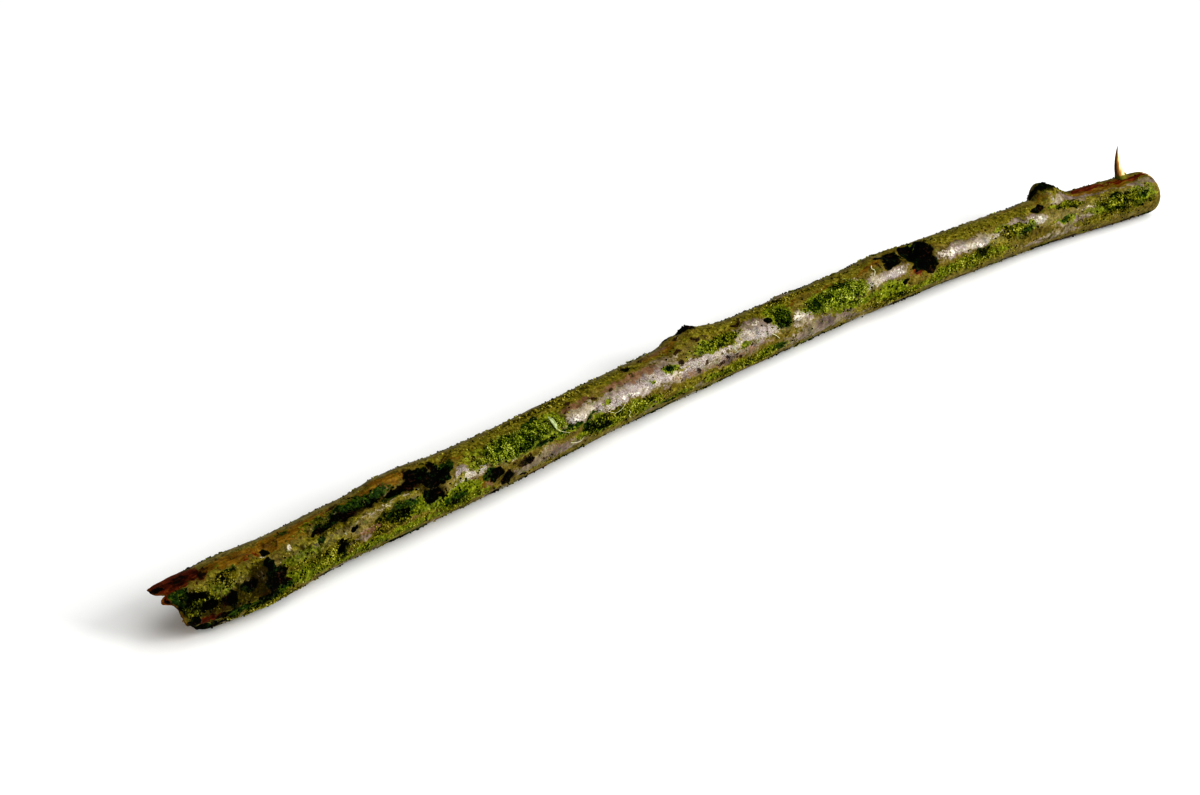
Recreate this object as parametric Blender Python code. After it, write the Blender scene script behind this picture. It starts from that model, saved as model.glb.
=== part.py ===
# Lichen on a twig: one broken piece of twig lying along X, its splintered end at -X and its
# rounded end at +X, with crusts of lichen and tufts of moss hugging the bark.
# Metres, +Z up, origin on the floor under the middle of the whole piece.
# Angles go round the twig in degrees: 0 faces +Y, 90 faces up, 180 faces -Y, 270 faces the floor.

import math

import bmesh
import bpy
from mathutils import Vector, noise

MM = 0.001

# The twig's route in mm: place along X, sideways place, lift of the underside, radius.
# Where the lift is below zero the underside is pressed flat: the three places that it rests on.
ROUTE = (
    (-110.0, -1.75, 1.60, 4.40),
    (-106.0, -2.05, 1.20, 4.50),
    (-97.0, -2.55, 0.40, 4.80),
    (-87.0, -2.35, -0.14, 4.95),
    (-74.0, -1.35, 0.25, 4.75),
    (-57.0, -0.85, 0.35, 4.85),
    (-41.0, -0.35, 0.35, 4.75),
    (-26.0, 0.85, 0.30, 4.60),
    (-11.0, 1.95, 0.10, 4.60),
    (4.0, 2.55, -0.14, 4.60),
    (20.0, 2.65, 0.05, 4.45),
    (36.0, 2.45, 0.20, 4.40),
    (52.0, 1.95, 0.30, 4.40),
    (68.0, 1.05, 0.20, 4.25),
    (81.0, 0.15, 0.05, 4.15),
    (92.0, -1.45, -0.14, 4.10),
    (101.0, -2.95, 0.05, 4.05),
    (108.0, -4.25, 0.15, 4.00),
)

# Nodes where the twig swells all round: place, half length, height, in mm.
SWELLINGS = (
    (-91.5, 9.0, 0.20),
    (-60.5, 9.0, 0.32),
    (45.0, 8.0, 0.28),
    (82.0, 7.0, 0.15),
)

# Bumps (height above zero) and pits (below zero), in mm and degrees:
# place, angle, reach towards -X, reach towards +X, half width round the twig, height.
BUMPS = (
    (3.0, 62.0, 8.0, 8.0, 6.0, 1.15),
    (3.0, 58.0, 2.0, 2.4, 2.2, 0.75),
    (-1.0, 52.0, 2.0, 2.0, 2.0, 0.45),
    (82.6, 66.0, 2.4, 6.2, 3.5, 2.7),
    (-64.0, 78.0, 3.5, 3.5, 3.0, 0.35),
    (-43.0, 181.0, 3.0, 3.0, 3.0, 0.35),
    (-43.0, 181.0, 1.7, 1.7, 1.6, -0.75),
    (55.0, 112.0, 2.4, 3.0, 4.2, 0.30),
    (47.0, 168.0, 1.5, 1.5, 1.4, -0.40),
    (79.0, 105.0, 1.9, 1.9, 1.3, -0.45),
    (11.5, 97.0, 1.5, 1.5, 1.5, -0.35),
    (-30.0, 12.0, 5.0, 7.0, 3.0, 0.55),
    (62.0, 352.0, 3.0, 4.0, 2.4, -0.50),
    (24.0, 20.0, 3.0, 6.0, 3.0, 0.70),
)

# Ridges (height above zero) and grooves (below zero), in mm and degrees:
# first place and angle, last place and angle, half width, height.
LINES = (
    (-86.0, 106.0, -85.0, 165.0, 3.0, -0.90),
    (-90.0, 108.0, -88.2, 180.0, 1.8, 0.55),
    (-78.0, 113.0, -63.0, 112.0, 1.8, -0.50),
    (-63.0, 112.0, -57.0, 104.0, 3.2, -0.85),
    (-51.6, 92.0, -57.6, 158.0, 1.9, -0.85),
    (46.0, 74.0, 50.0, 96.0, 2.8, -0.75),
    (50.0, 96.0, 52.8, 150.0, 2.7, -0.85),
    (87.0, 90.0, 102.0, 93.0, 2.2, -0.35),
    (-101.0, 204.0, -96.0, 206.0, 1.4, -0.45),
    (14.0, 330.0, 34.0, 338.0, 1.9, -0.45),
    (-72.0, 348.0, -60.0, 356.0, 1.9, -0.45),
)

# The slow waves of the bark, in mm: height, length of one wave.
GRAIN_HEIGHT = 0.10
GRAIN_LENGTH = 9.0
GRAIN_SEED = Vector((4.0, 7.0, 2.0))

# The mesh of the twig: sides round it, and the spacing of its rings in mm.
SIDES = 24
FINE_STEP = 1.45
COARSE_STEP = 3.6
# Stretches with rings close together, in mm along X.
FINE_STRETCHES = ((-93.0, -83.0), (-66.0, -50.0), (-46.5, -39.5), (0.0, 6.0), (43.0, 57.0), (76.5, 89.0))

# The splintered end in mm and degrees: how far the bark reaches at each angle.
# The tongue near 85 degrees is the overhanging sliver and the small one near 128 is the nub.
SPLINTERED_RIM = (
    (0.0, -96.5),
    (30.0, -97.5),
    (55.0, -100.0),
    (68.0, -103.4),
    (78.0, -105.4),
    (88.0, -105.4),
    (100.0, -104.6),
    (110.0, -103.1),
    (118.0, -103.2),
    (126.0, -105.0),
    (136.0, -104.0),
    (144.0, -103.3),
    (170.0, -102.7),
    (187.0, -102.0),
    (202.0, -100.6),
    (230.0, -99.2),
    (270.0, -98.4),
    (315.0, -97.2),
    (360.0, -96.5),
)
# The torn wood inside the rim leans from the -Y side to the +Y side.
TORN_MIDDLE = -99.4
TORN_LEAN = 0.62
TORN_JAG = 0.9
# Rings across the torn wood, as fractions of the radius, from the middle out.
TORN_RINGS = (0.0, 0.3, 0.55, 0.78, 0.9)
TORN_LIP = 0.35
SPLINTERED_STRAIGHT = -93.0
LEANING_RINGS = 6

# The rounded end in mm.
ROUNDED_END = 105.6
ROUNDING = 2.0
ROUNDING_RINGS = 4
END_RINGS = (0.28, 0.0)
END_DISH = 0.25

# The upright splinter near the rounded end, in mm and degrees.
SPIKE_PLACE = 99.2
SPIKE_ANGLE = 74.0
SPIKE_LENGTH = 7.6
SPIKE_SINK = 1.0
SPIKE_BASE_RADIUS = 1.45
SPIKE_TIP_RADIUS = 0.12
SPIKE_SIDES = 7
SPIKE_RINGS = 5
SPIKE_BEND = 1.3
SPIKE_FLATTENING = 0.7

# The growth on the bark: clearance under it, and its edge's height, in mm.
CLEARANCE = 0.25
EDGE_HEIGHT = 0.12
CRUST_HEIGHT = 0.40
MOSS_HEIGHT = 0.75
GROWTH_SIDES = 16
GROWTH_RINGS = 8
# How far the lobes of an outline reach in and out, for each count of lobes.
LOBES = ((3, 0.14), (5, 0.09), (8, 0.06))
LUMP_SIZE = 1.6
LUMP_SHARE = 0.55

# Each growth: name, place, angle, half length, half width round the twig, height.
GROWTHS = (
    ("lichen_near_end", -99.3, 148.0, 3.2, 2.3, CRUST_HEIGHT),
    ("lichen_near_flank", -94.2, 124.0, 2.3, 1.4, CRUST_HEIGHT),
    ("lichen_near_underedge", -88.5, 206.0, 7.0, 1.2, CRUST_HEIGHT),
    ("lichen_near_side", -75.5, 174.0, 5.2, 2.0, CRUST_HEIGHT),
    ("lichen_below_groove", -64.5, 162.0, 4.6, 2.0, CRUST_HEIGHT),
    ("lichen_low_node", -51.5, 192.0, 3.6, 1.4, CRUST_HEIGHT),
    ("moss_middle", -38.5, 127.0, 8.8, 2.0, MOSS_HEIGHT),
    ("lichen_top_edge", -30.0, 78.0, 13.0, 0.9, CRUST_HEIGHT),
    ("lichen_granular_band", -17.5, 171.0, 9.0, 1.5, CRUST_HEIGHT),
    ("lichen_on_node", 7.0, 121.0, 4.6, 1.4, CRUST_HEIGHT),
    ("lichen_top_node", 22.5, 82.0, 7.5, 0.9, CRUST_HEIGHT),
    ("lichen_low_middle", 11.0, 193.0, 7.5, 1.3, CRUST_HEIGHT),
    ("moss_dark_tuft", 19.9, 125.0, 1.6, 1.9, MOSS_HEIGHT),
    ("moss_far", 32.3, 133.0, 6.6, 2.1, MOSS_HEIGHT),
    ("lichen_below_scar", 44.0, 193.0, 6.0, 1.1, CRUST_HEIGHT),
    ("lichen_far_band", 62.0, 172.0, 7.5, 1.5, CRUST_HEIGHT),
    ("lichen_under_bud", 72.0, 138.0, 3.4, 1.5, CRUST_HEIGHT),
    ("lichen_past_bud", 86.0, 120.0, 3.0, 1.0, CRUST_HEIGHT),
    ("lichen_far_end", 95.8, 149.0, 5.6, 2.1, CRUST_HEIGHT),
    ("lichen_back_near", -80.0, 8.0, 8.5, 2.2, CRUST_HEIGHT),
    ("moss_back_middle", -6.0, 2.0, 8.0, 2.2, MOSS_HEIGHT),
    ("lichen_back_far", 44.0, 358.0, 8.0, 1.9, CRUST_HEIGHT),
    ("lichen_back_end", 87.0, 2.0, 6.0, 1.8, CRUST_HEIGHT),
)

# Colours and finish from the photo: base colour, roughness.
BARK_LOOK = ((0.17, 0.12, 0.08), 0.45)
CRUST_LOOK = ((0.19, 0.22, 0.05), 0.9)
MOSS_LOOK = ((0.10, 0.22, 0.02), 0.9)


def between(first, last, share):
    return first + (last - first) * share


def route_value(column, place):
    """Read one column of ROUTE at a place along X, on a smooth curve through its rows."""
    row = 1
    while row < len(ROUTE) - 3 and place > ROUTE[row + 1][0]:
        row += 1
    before, start, end, after = ROUTE[row - 1:row + 3]
    span = end[0] - start[0]
    share = (place - start[0]) / span
    slope_in = (end[column] - before[column]) / (end[0] - before[0]) * span
    slope_out = (after[column] - start[column]) / (after[0] - start[0]) * span
    square = share * share
    cube = square * share
    return (
        (2 * cube - 3 * square + 1) * start[column]
        + (cube - 2 * square + share) * slope_in
        + (3 * square - 2 * cube) * end[column]
        + (cube - square) * slope_out
    )


def mound(distance):
    """A smooth mound: 1 at distance 0, and 0 from distance 1 on."""
    if distance >= 1.0:
        return 0.0
    return (1.0 - distance * distance) ** 2


def turn_between(angle, other):
    """The signed turn in degrees from other to angle, the short way round."""
    return (angle - other + 180.0) % 360.0 - 180.0


def plain_radius(place):
    swell = sum(height * mound(abs(place - middle) / reach) for middle, reach, height in SWELLINGS)
    return route_value(3, place) + swell


def arc(angle, other, radius):
    """The distance round the twig in mm from one angle to the other."""
    return math.radians(turn_between(angle, other)) * radius


def bump_height(place, angle, radius):
    total = 0.0
    for middle, turn, back, front, half_width, height in BUMPS:
        along = place - middle
        reach = back if along < 0 else front
        distance = math.hypot(along / reach, arc(angle, turn, radius) / half_width)
        total += height * mound(distance)
    return total


def line_height(place, angle, radius):
    total = 0.0
    for first, first_turn, last, last_turn, half_width, height in LINES:
        run = last - first
        rise = arc(last_turn, first_turn, radius)
        along = place - first
        across = arc(angle, first_turn, radius)
        share = (along * run + across * rise) / (run * run + rise * rise)
        share = min(max(share, 0.0), 1.0)
        distance = math.hypot(along - share * run, across - share * rise)
        total += height * mound(distance / half_width)
    return total


def bark_point(place, angle, height=0.0, reach=1.0):
    """A point on the bark in metres; reach below 1 lies inside the wood."""
    radius = plain_radius(place)
    turn = math.radians(angle)
    relief = bump_height(place, angle, radius) + line_height(place, angle, radius)
    wave_at = Vector((place / GRAIN_LENGTH, math.cos(turn), math.sin(turn)))
    relief += GRAIN_HEIGHT * noise.noise(wave_at + GRAIN_SEED)
    out = (radius + relief + height) * reach
    side = route_value(1, place) + out * math.cos(turn)
    up = route_value(2, place) + radius + out * math.sin(turn)
    return Vector((place, side, max(up, 0.0))) * MM


def rim_place(angle):
    """How far the bark reaches at the splintered end, at one angle."""
    for (turn, place), (next_turn, next_place) in zip(SPLINTERED_RIM, SPLINTERED_RIM[1:]):
        if turn <= angle <= next_turn:
            return between(place, next_place, (angle - turn) / (next_turn - turn))
    return SPLINTERED_RIM[0][1]


def torn_place(angle, reach):
    """Where the torn wood lies inside the rim, at one angle and fraction of the radius."""
    turn = math.radians(angle)
    radius = plain_radius(TORN_MIDDLE)
    sideways = reach * radius * math.cos(turn)
    jag = noise.noise(Vector((3.0 * reach * math.cos(turn), 3.0 * reach * math.sin(turn), 0.5)))
    wood = TORN_MIDDLE + TORN_LEAN * sideways + TORN_JAG * jag
    if reach < TORN_RINGS[-1]:
        return wood
    return rim_place(angle) + TORN_LIP


def straight_places():
    """Places of the plain rings along X, close together over the detailed stretches."""
    places = [SPLINTERED_STRAIGHT]
    last = ROUNDED_END - ROUNDING
    while places[-1] < last:
        here = places[-1]
        fine = any(start <= here < end for start, end in FINE_STRETCHES)
        places.append(here + (FINE_STEP if fine else COARSE_STEP))
    places[-1] = last
    return places


def ring_rules():
    """One (kind, value) for each ring of the twig, from the torn wood to the rounded end."""
    rules = [("torn", reach) for reach in TORN_RINGS]
    rules += [("leaning", step / LEANING_RINGS) for step in range(LEANING_RINGS)]
    rules += [("straight", place) for place in straight_places()]
    rules += [("rounding", step / ROUNDING_RINGS) for step in range(1, ROUNDING_RINGS + 1)]
    rules += [("end", reach) for reach in END_RINGS]
    return rules


def ring_point(kind, value, angle):
    if kind == "torn":
        return bark_point(torn_place(angle, value), angle, reach=value)
    if kind == "leaning":
        return bark_point(between(rim_place(angle), SPLINTERED_STRAIGHT, value), angle)
    if kind == "straight":
        return bark_point(value, angle)
    corner = ROUNDED_END - ROUNDING
    flat_reach = 1.0 - ROUNDING / plain_radius(corner)
    if kind == "rounding":
        turn = value * math.pi / 2
        reach = between(flat_reach, 1.0, math.cos(turn))
        return bark_point(corner + ROUNDING * math.sin(turn), angle, reach=reach)
    return bark_point(ROUNDED_END - END_DISH * (1.0 - value), angle, reach=value)


def new_object(name, bm, collection, material):
    mesh = bpy.data.meshes.new(name)
    bm.to_mesh(mesh)
    bm.free()
    mesh.shade_smooth()
    item = bpy.data.objects.new(name, mesh)
    if material:
        mesh.materials.append(material)
    collection.objects.link(item)
    return item


def new_material(name, look):
    colour, roughness = look
    material = bpy.data.materials.new(name)
    material.use_nodes = True
    shader = material.node_tree.nodes["Principled BSDF"]
    shader.inputs["Base Color"].default_value = (*colour, 1.0)
    shader.inputs["Roughness"].default_value = roughness
    shader.inputs["Metallic"].default_value = 0.0
    return material


def new_collection(name):
    collection = bpy.data.collections.new(name)
    bpy.context.scene.collection.children.link(collection)
    return collection


def make_spike(cutters):
    """The upright splinter, a bent and flattened cone that is joined to the twig."""
    bm = bmesh.new()
    bmesh.ops.create_cone(
        bm,
        cap_ends=True,
        segments=SPIKE_SIDES,
        radius1=SPIKE_BASE_RADIUS * MM,
        radius2=SPIKE_TIP_RADIUS * MM,
        depth=SPIKE_LENGTH * MM,
    )
    sides = [edge for edge in bm.edges if edge.verts[0].co.z * edge.verts[1].co.z < 0]
    bmesh.ops.subdivide_edges(bm, edges=sides, cuts=SPIKE_RINGS)
    for vert in bm.verts:
        share = vert.co.z / (SPIKE_LENGTH * MM) + 0.5
        vert.co.x -= SPIKE_BEND * MM * share * share
        vert.co.y *= SPIKE_FLATTENING
        vert.co.z += (SPIKE_LENGTH / 2 - SPIKE_SINK) * MM
    bmesh.ops.translate(bm, verts=bm.verts, vec=bark_point(SPIKE_PLACE, SPIKE_ANGLE))
    spike = new_object("spike_cutter", bm, cutters, None)
    spike.display_type = "WIRE"
    spike.hide_render = True
    return spike


def make_twig(parts, cutters, material):
    """The whole twig from one tube: every ring of the tube is laid on the bark or an end."""
    rules = ring_rules()
    last_ring = len(rules) - 1
    bm = bmesh.new()
    bmesh.ops.create_cone(bm, segments=SIDES, radius1=1.0, radius2=1.0, depth=1.0)
    walls = [edge for edge in bm.edges if edge.verts[0].co.z * edge.verts[1].co.z < 0]
    bmesh.ops.subdivide_edges(bm, edges=walls, cuts=last_ring - 1)
    half_side = 180.0 / SIDES
    for vert in bm.verts:
        ring = round((vert.co.z + 0.5) * last_ring)
        turn = math.degrees(math.atan2(vert.co.x, vert.co.y))
        angle = (270.0 + half_side - turn) % 360.0
        vert.co = ring_point(*rules[ring], angle)
    bmesh.ops.remove_doubles(bm, verts=bm.verts, dist=0.001 * MM)
    bmesh.ops.recalc_face_normals(bm, faces=bm.faces)
    twig = new_object("twig", bm, parts, material)
    joined = twig.modifiers.new("spike", "BOOLEAN")
    joined.operation = "UNION"
    joined.solver = "EXACT"
    joined.object = make_spike(cutters)
    return twig


def lobed(turn, seed):
    """How far an outline reaches at one turn, as a share of its plain oval."""
    return 1.0 + sum(share * math.sin(count * turn + seed * count) for count, share in LOBES)


def make_growth(growth, seed, parts, material):
    """A thin lens with a lobed outline and a lumpy top, laid on the bark."""
    name, place, angle, half_length, half_width, height = growth
    radius = plain_radius(place)
    bm = bmesh.new()
    bmesh.ops.create_uvsphere(bm, u_segments=GROWTH_SIDES, v_segments=GROWTH_RINGS, radius=1.0)
    for vert in bm.verts:
        turn = math.atan2(vert.co.y, vert.co.x)
        reach = math.hypot(vert.co.x, vert.co.y) * lobed(turn, seed)
        along = place + half_length * reach * math.cos(turn)
        across = angle - math.degrees(half_width * reach * math.sin(turn) / radius)
        lump_at = Vector((along, math.radians(across) * radius, seed)) / LUMP_SIZE
        lump = 1.0 + LUMP_SHARE * noise.noise(lump_at)
        rise = max(vert.co.z, 0.0) * (height - EDGE_HEIGHT) * lump
        edge = EDGE_HEIGHT if vert.co.z > -0.01 else 0.0
        vert.co = bark_point(along, across, height=CLEARANCE + edge + rise)
    return new_object(name, bm, parts, material)


def main():
    for item in list(bpy.data.objects):
        bpy.data.objects.remove(item, do_unlink=True)
    parts = new_collection("lichen_on_a_twig")
    cutters = new_collection("cutters")
    bark = new_material("bark", BARK_LOOK)
    crust = new_material("lichen crust", CRUST_LOOK)
    moss = new_material("moss", MOSS_LOOK)
    make_twig(parts, cutters, bark)
    for seed, growth in enumerate(GROWTHS, start=1):
        make_growth(growth, seed, parts, moss if growth[0].startswith("moss") else crust)


main()
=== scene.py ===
import math
import random
from functools import lru_cache

import bmesh
import bpy
import numpy as np
from mathutils import Matrix, Vector, noise


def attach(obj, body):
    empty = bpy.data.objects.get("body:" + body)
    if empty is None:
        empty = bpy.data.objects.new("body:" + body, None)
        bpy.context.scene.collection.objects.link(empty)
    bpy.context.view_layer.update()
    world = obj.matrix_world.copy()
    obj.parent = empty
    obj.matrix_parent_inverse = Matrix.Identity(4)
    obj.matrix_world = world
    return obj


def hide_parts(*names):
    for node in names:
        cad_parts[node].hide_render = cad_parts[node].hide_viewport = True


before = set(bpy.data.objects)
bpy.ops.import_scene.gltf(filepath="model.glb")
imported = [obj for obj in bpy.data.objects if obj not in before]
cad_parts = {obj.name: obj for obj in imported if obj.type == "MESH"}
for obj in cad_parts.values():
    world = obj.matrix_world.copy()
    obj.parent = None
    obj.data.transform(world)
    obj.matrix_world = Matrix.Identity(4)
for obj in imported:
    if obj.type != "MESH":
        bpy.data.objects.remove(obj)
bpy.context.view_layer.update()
mm = 0.001
noise.seed_set(4)  # every run gives the same ragged outlines

# Places along X, lengths and heights are in mm. Angles go round the twig in degrees:
# 0 faces +Y, 90 faces up, 180 faces -Y (the camera's side), 270 faces the floor.
twigForm = {
    # place, sideways place, lift of the underside, radius
    "route": (
        (-110, -1.75, 1.60, 4.40), (-106, -2.05, 1.20, 4.50), (-97, -2.55, 0.40, 4.80),
        (-87, -2.35, -0.14, 4.95), (-74, -1.35, 0.25, 4.75), (-57, -0.85, 0.35, 4.85),
        (-41, -0.35, 0.35, 4.75), (-26, 0.85, 0.30, 4.60), (-11, 1.95, 0.10, 4.60), (4, 2.55, -0.14, 4.60),
        (20, 2.65, 0.05, 4.45), (36, 2.45, 0.20, 4.40), (52, 1.95, 0.30, 4.40), (68, 1.05, 0.20, 4.25),
        (81, 0.15, 0.05, 4.15), (92, -1.45, -0.14, 4.10), (101, -2.95, 0.05, 4.05), (108, -4.25, 0.15, 4.00),
    ),
    # place, half length, height
    "swellings": ((-91.5, 9, 0.20), (-60.5, 9, 0.32), (45, 8, 0.28), (82, 7, 0.15)),
    # place, angle, reach back, reach forward, half width, height
    "bumps": (
        (3, 62, 8, 8, 6, 1.15), (3, 58, 2, 2.4, 2.2, 0.75), (-1, 52, 2, 2, 2, 0.45),
        (82.6, 66, 2.4, 6.2, 3.5, 2.7), (-64, 78, 3.5, 3.5, 3, 0.35), (-43, 181, 3, 3, 3, 0.35),
        (-43, 181, 1.7, 1.7, 1.6, -0.75), (55, 112, 2.4, 3, 4.2, 0.30), (47, 168, 1.5, 1.5, 1.4, -0.40),
        (79, 105, 1.9, 1.9, 1.3, -0.45), (11.5, 97, 1.5, 1.5, 1.5, -0.35), (-30, 12, 5, 7, 3, 0.55),
        (62, 352, 3, 4, 2.4, -0.50), (24, 20, 3, 6, 3, 0.70),
    ),
    # first place and angle, last place and angle, half width, height
    "lines": (
        (-86, 106, -85, 165, 3, -0.90), (-90, 108, -88.2, 180, 1.8, 0.55), (-78, 113, -63, 112, 1.8, -0.50),
        (-63, 112, -57, 104, 3.2, -0.85), (-51.6, 92, -57.6, 158, 1.9, -0.85), (46, 74, 50, 96, 2.8, -0.75),
        (50, 96, 52.8, 150, 2.7, -0.85), (87, 90, 102, 93, 2.2, -0.35), (-101, 204, -96, 206, 1.4, -0.45),
        (14, 330, 34, 338, 1.9, -0.45), (-72, 348, -60, 356, 1.9, -0.45),
    ),
    # thin lifted skins of bark: place, angle, half length, half turn, height
    "flakes": (
        (-24.2, 130, 4.6, 18, 0.20), (-11.5, 112, 5.5, 15, 0.10), (14, 118, 3.6, 15, 0.12),
        (-49.6, 143, 2.6, 22, 0.12), (44, 136, 4.2, 13, 0.12), (61, 134, 6.6, 16, 0.14),
        (23.4, 138, 2, 15, 0.12), (29, 178, 8, 16, 0.08), (-33, 178, 8.5, 14, 0.08),
    ),
    "waveHeight": 0.10,
    "waveLength": 9.0,
    "waveSeed": Vector((4, 7, 2)),
    # the splintered end: angle, how far the bark reaches
    "rim": (
        (0, -96.5), (30, -97.5), (55, -100.5), (66, -103.4), (71, -104.9), (76, -105.35), (84, -105.5),
        (96, -105.4), (101, -105.2), (105, -104.9), (108, -104.2), (111, -103.8), (114, -104.3),
        (117, -104.7), (121, -104.95), (126, -104.9), (130, -104.6), (133, -103.9), (137, -103.45),
        (144, -103.1), (170, -102.75), (187, -102.3), (204, -101.3), (218, -100.2), (235, -99.1),
        (270, -98.4), (315, -97.2), (360, -96.5),
    ),
    "tornMiddle": -99.4,
    "tornLean": 0.62,
    "straightFrom": -93.0,
    "roundedEnd": 105.6,
    "rounding": 2.0,
    "endDish": 0.25,
}

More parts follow.
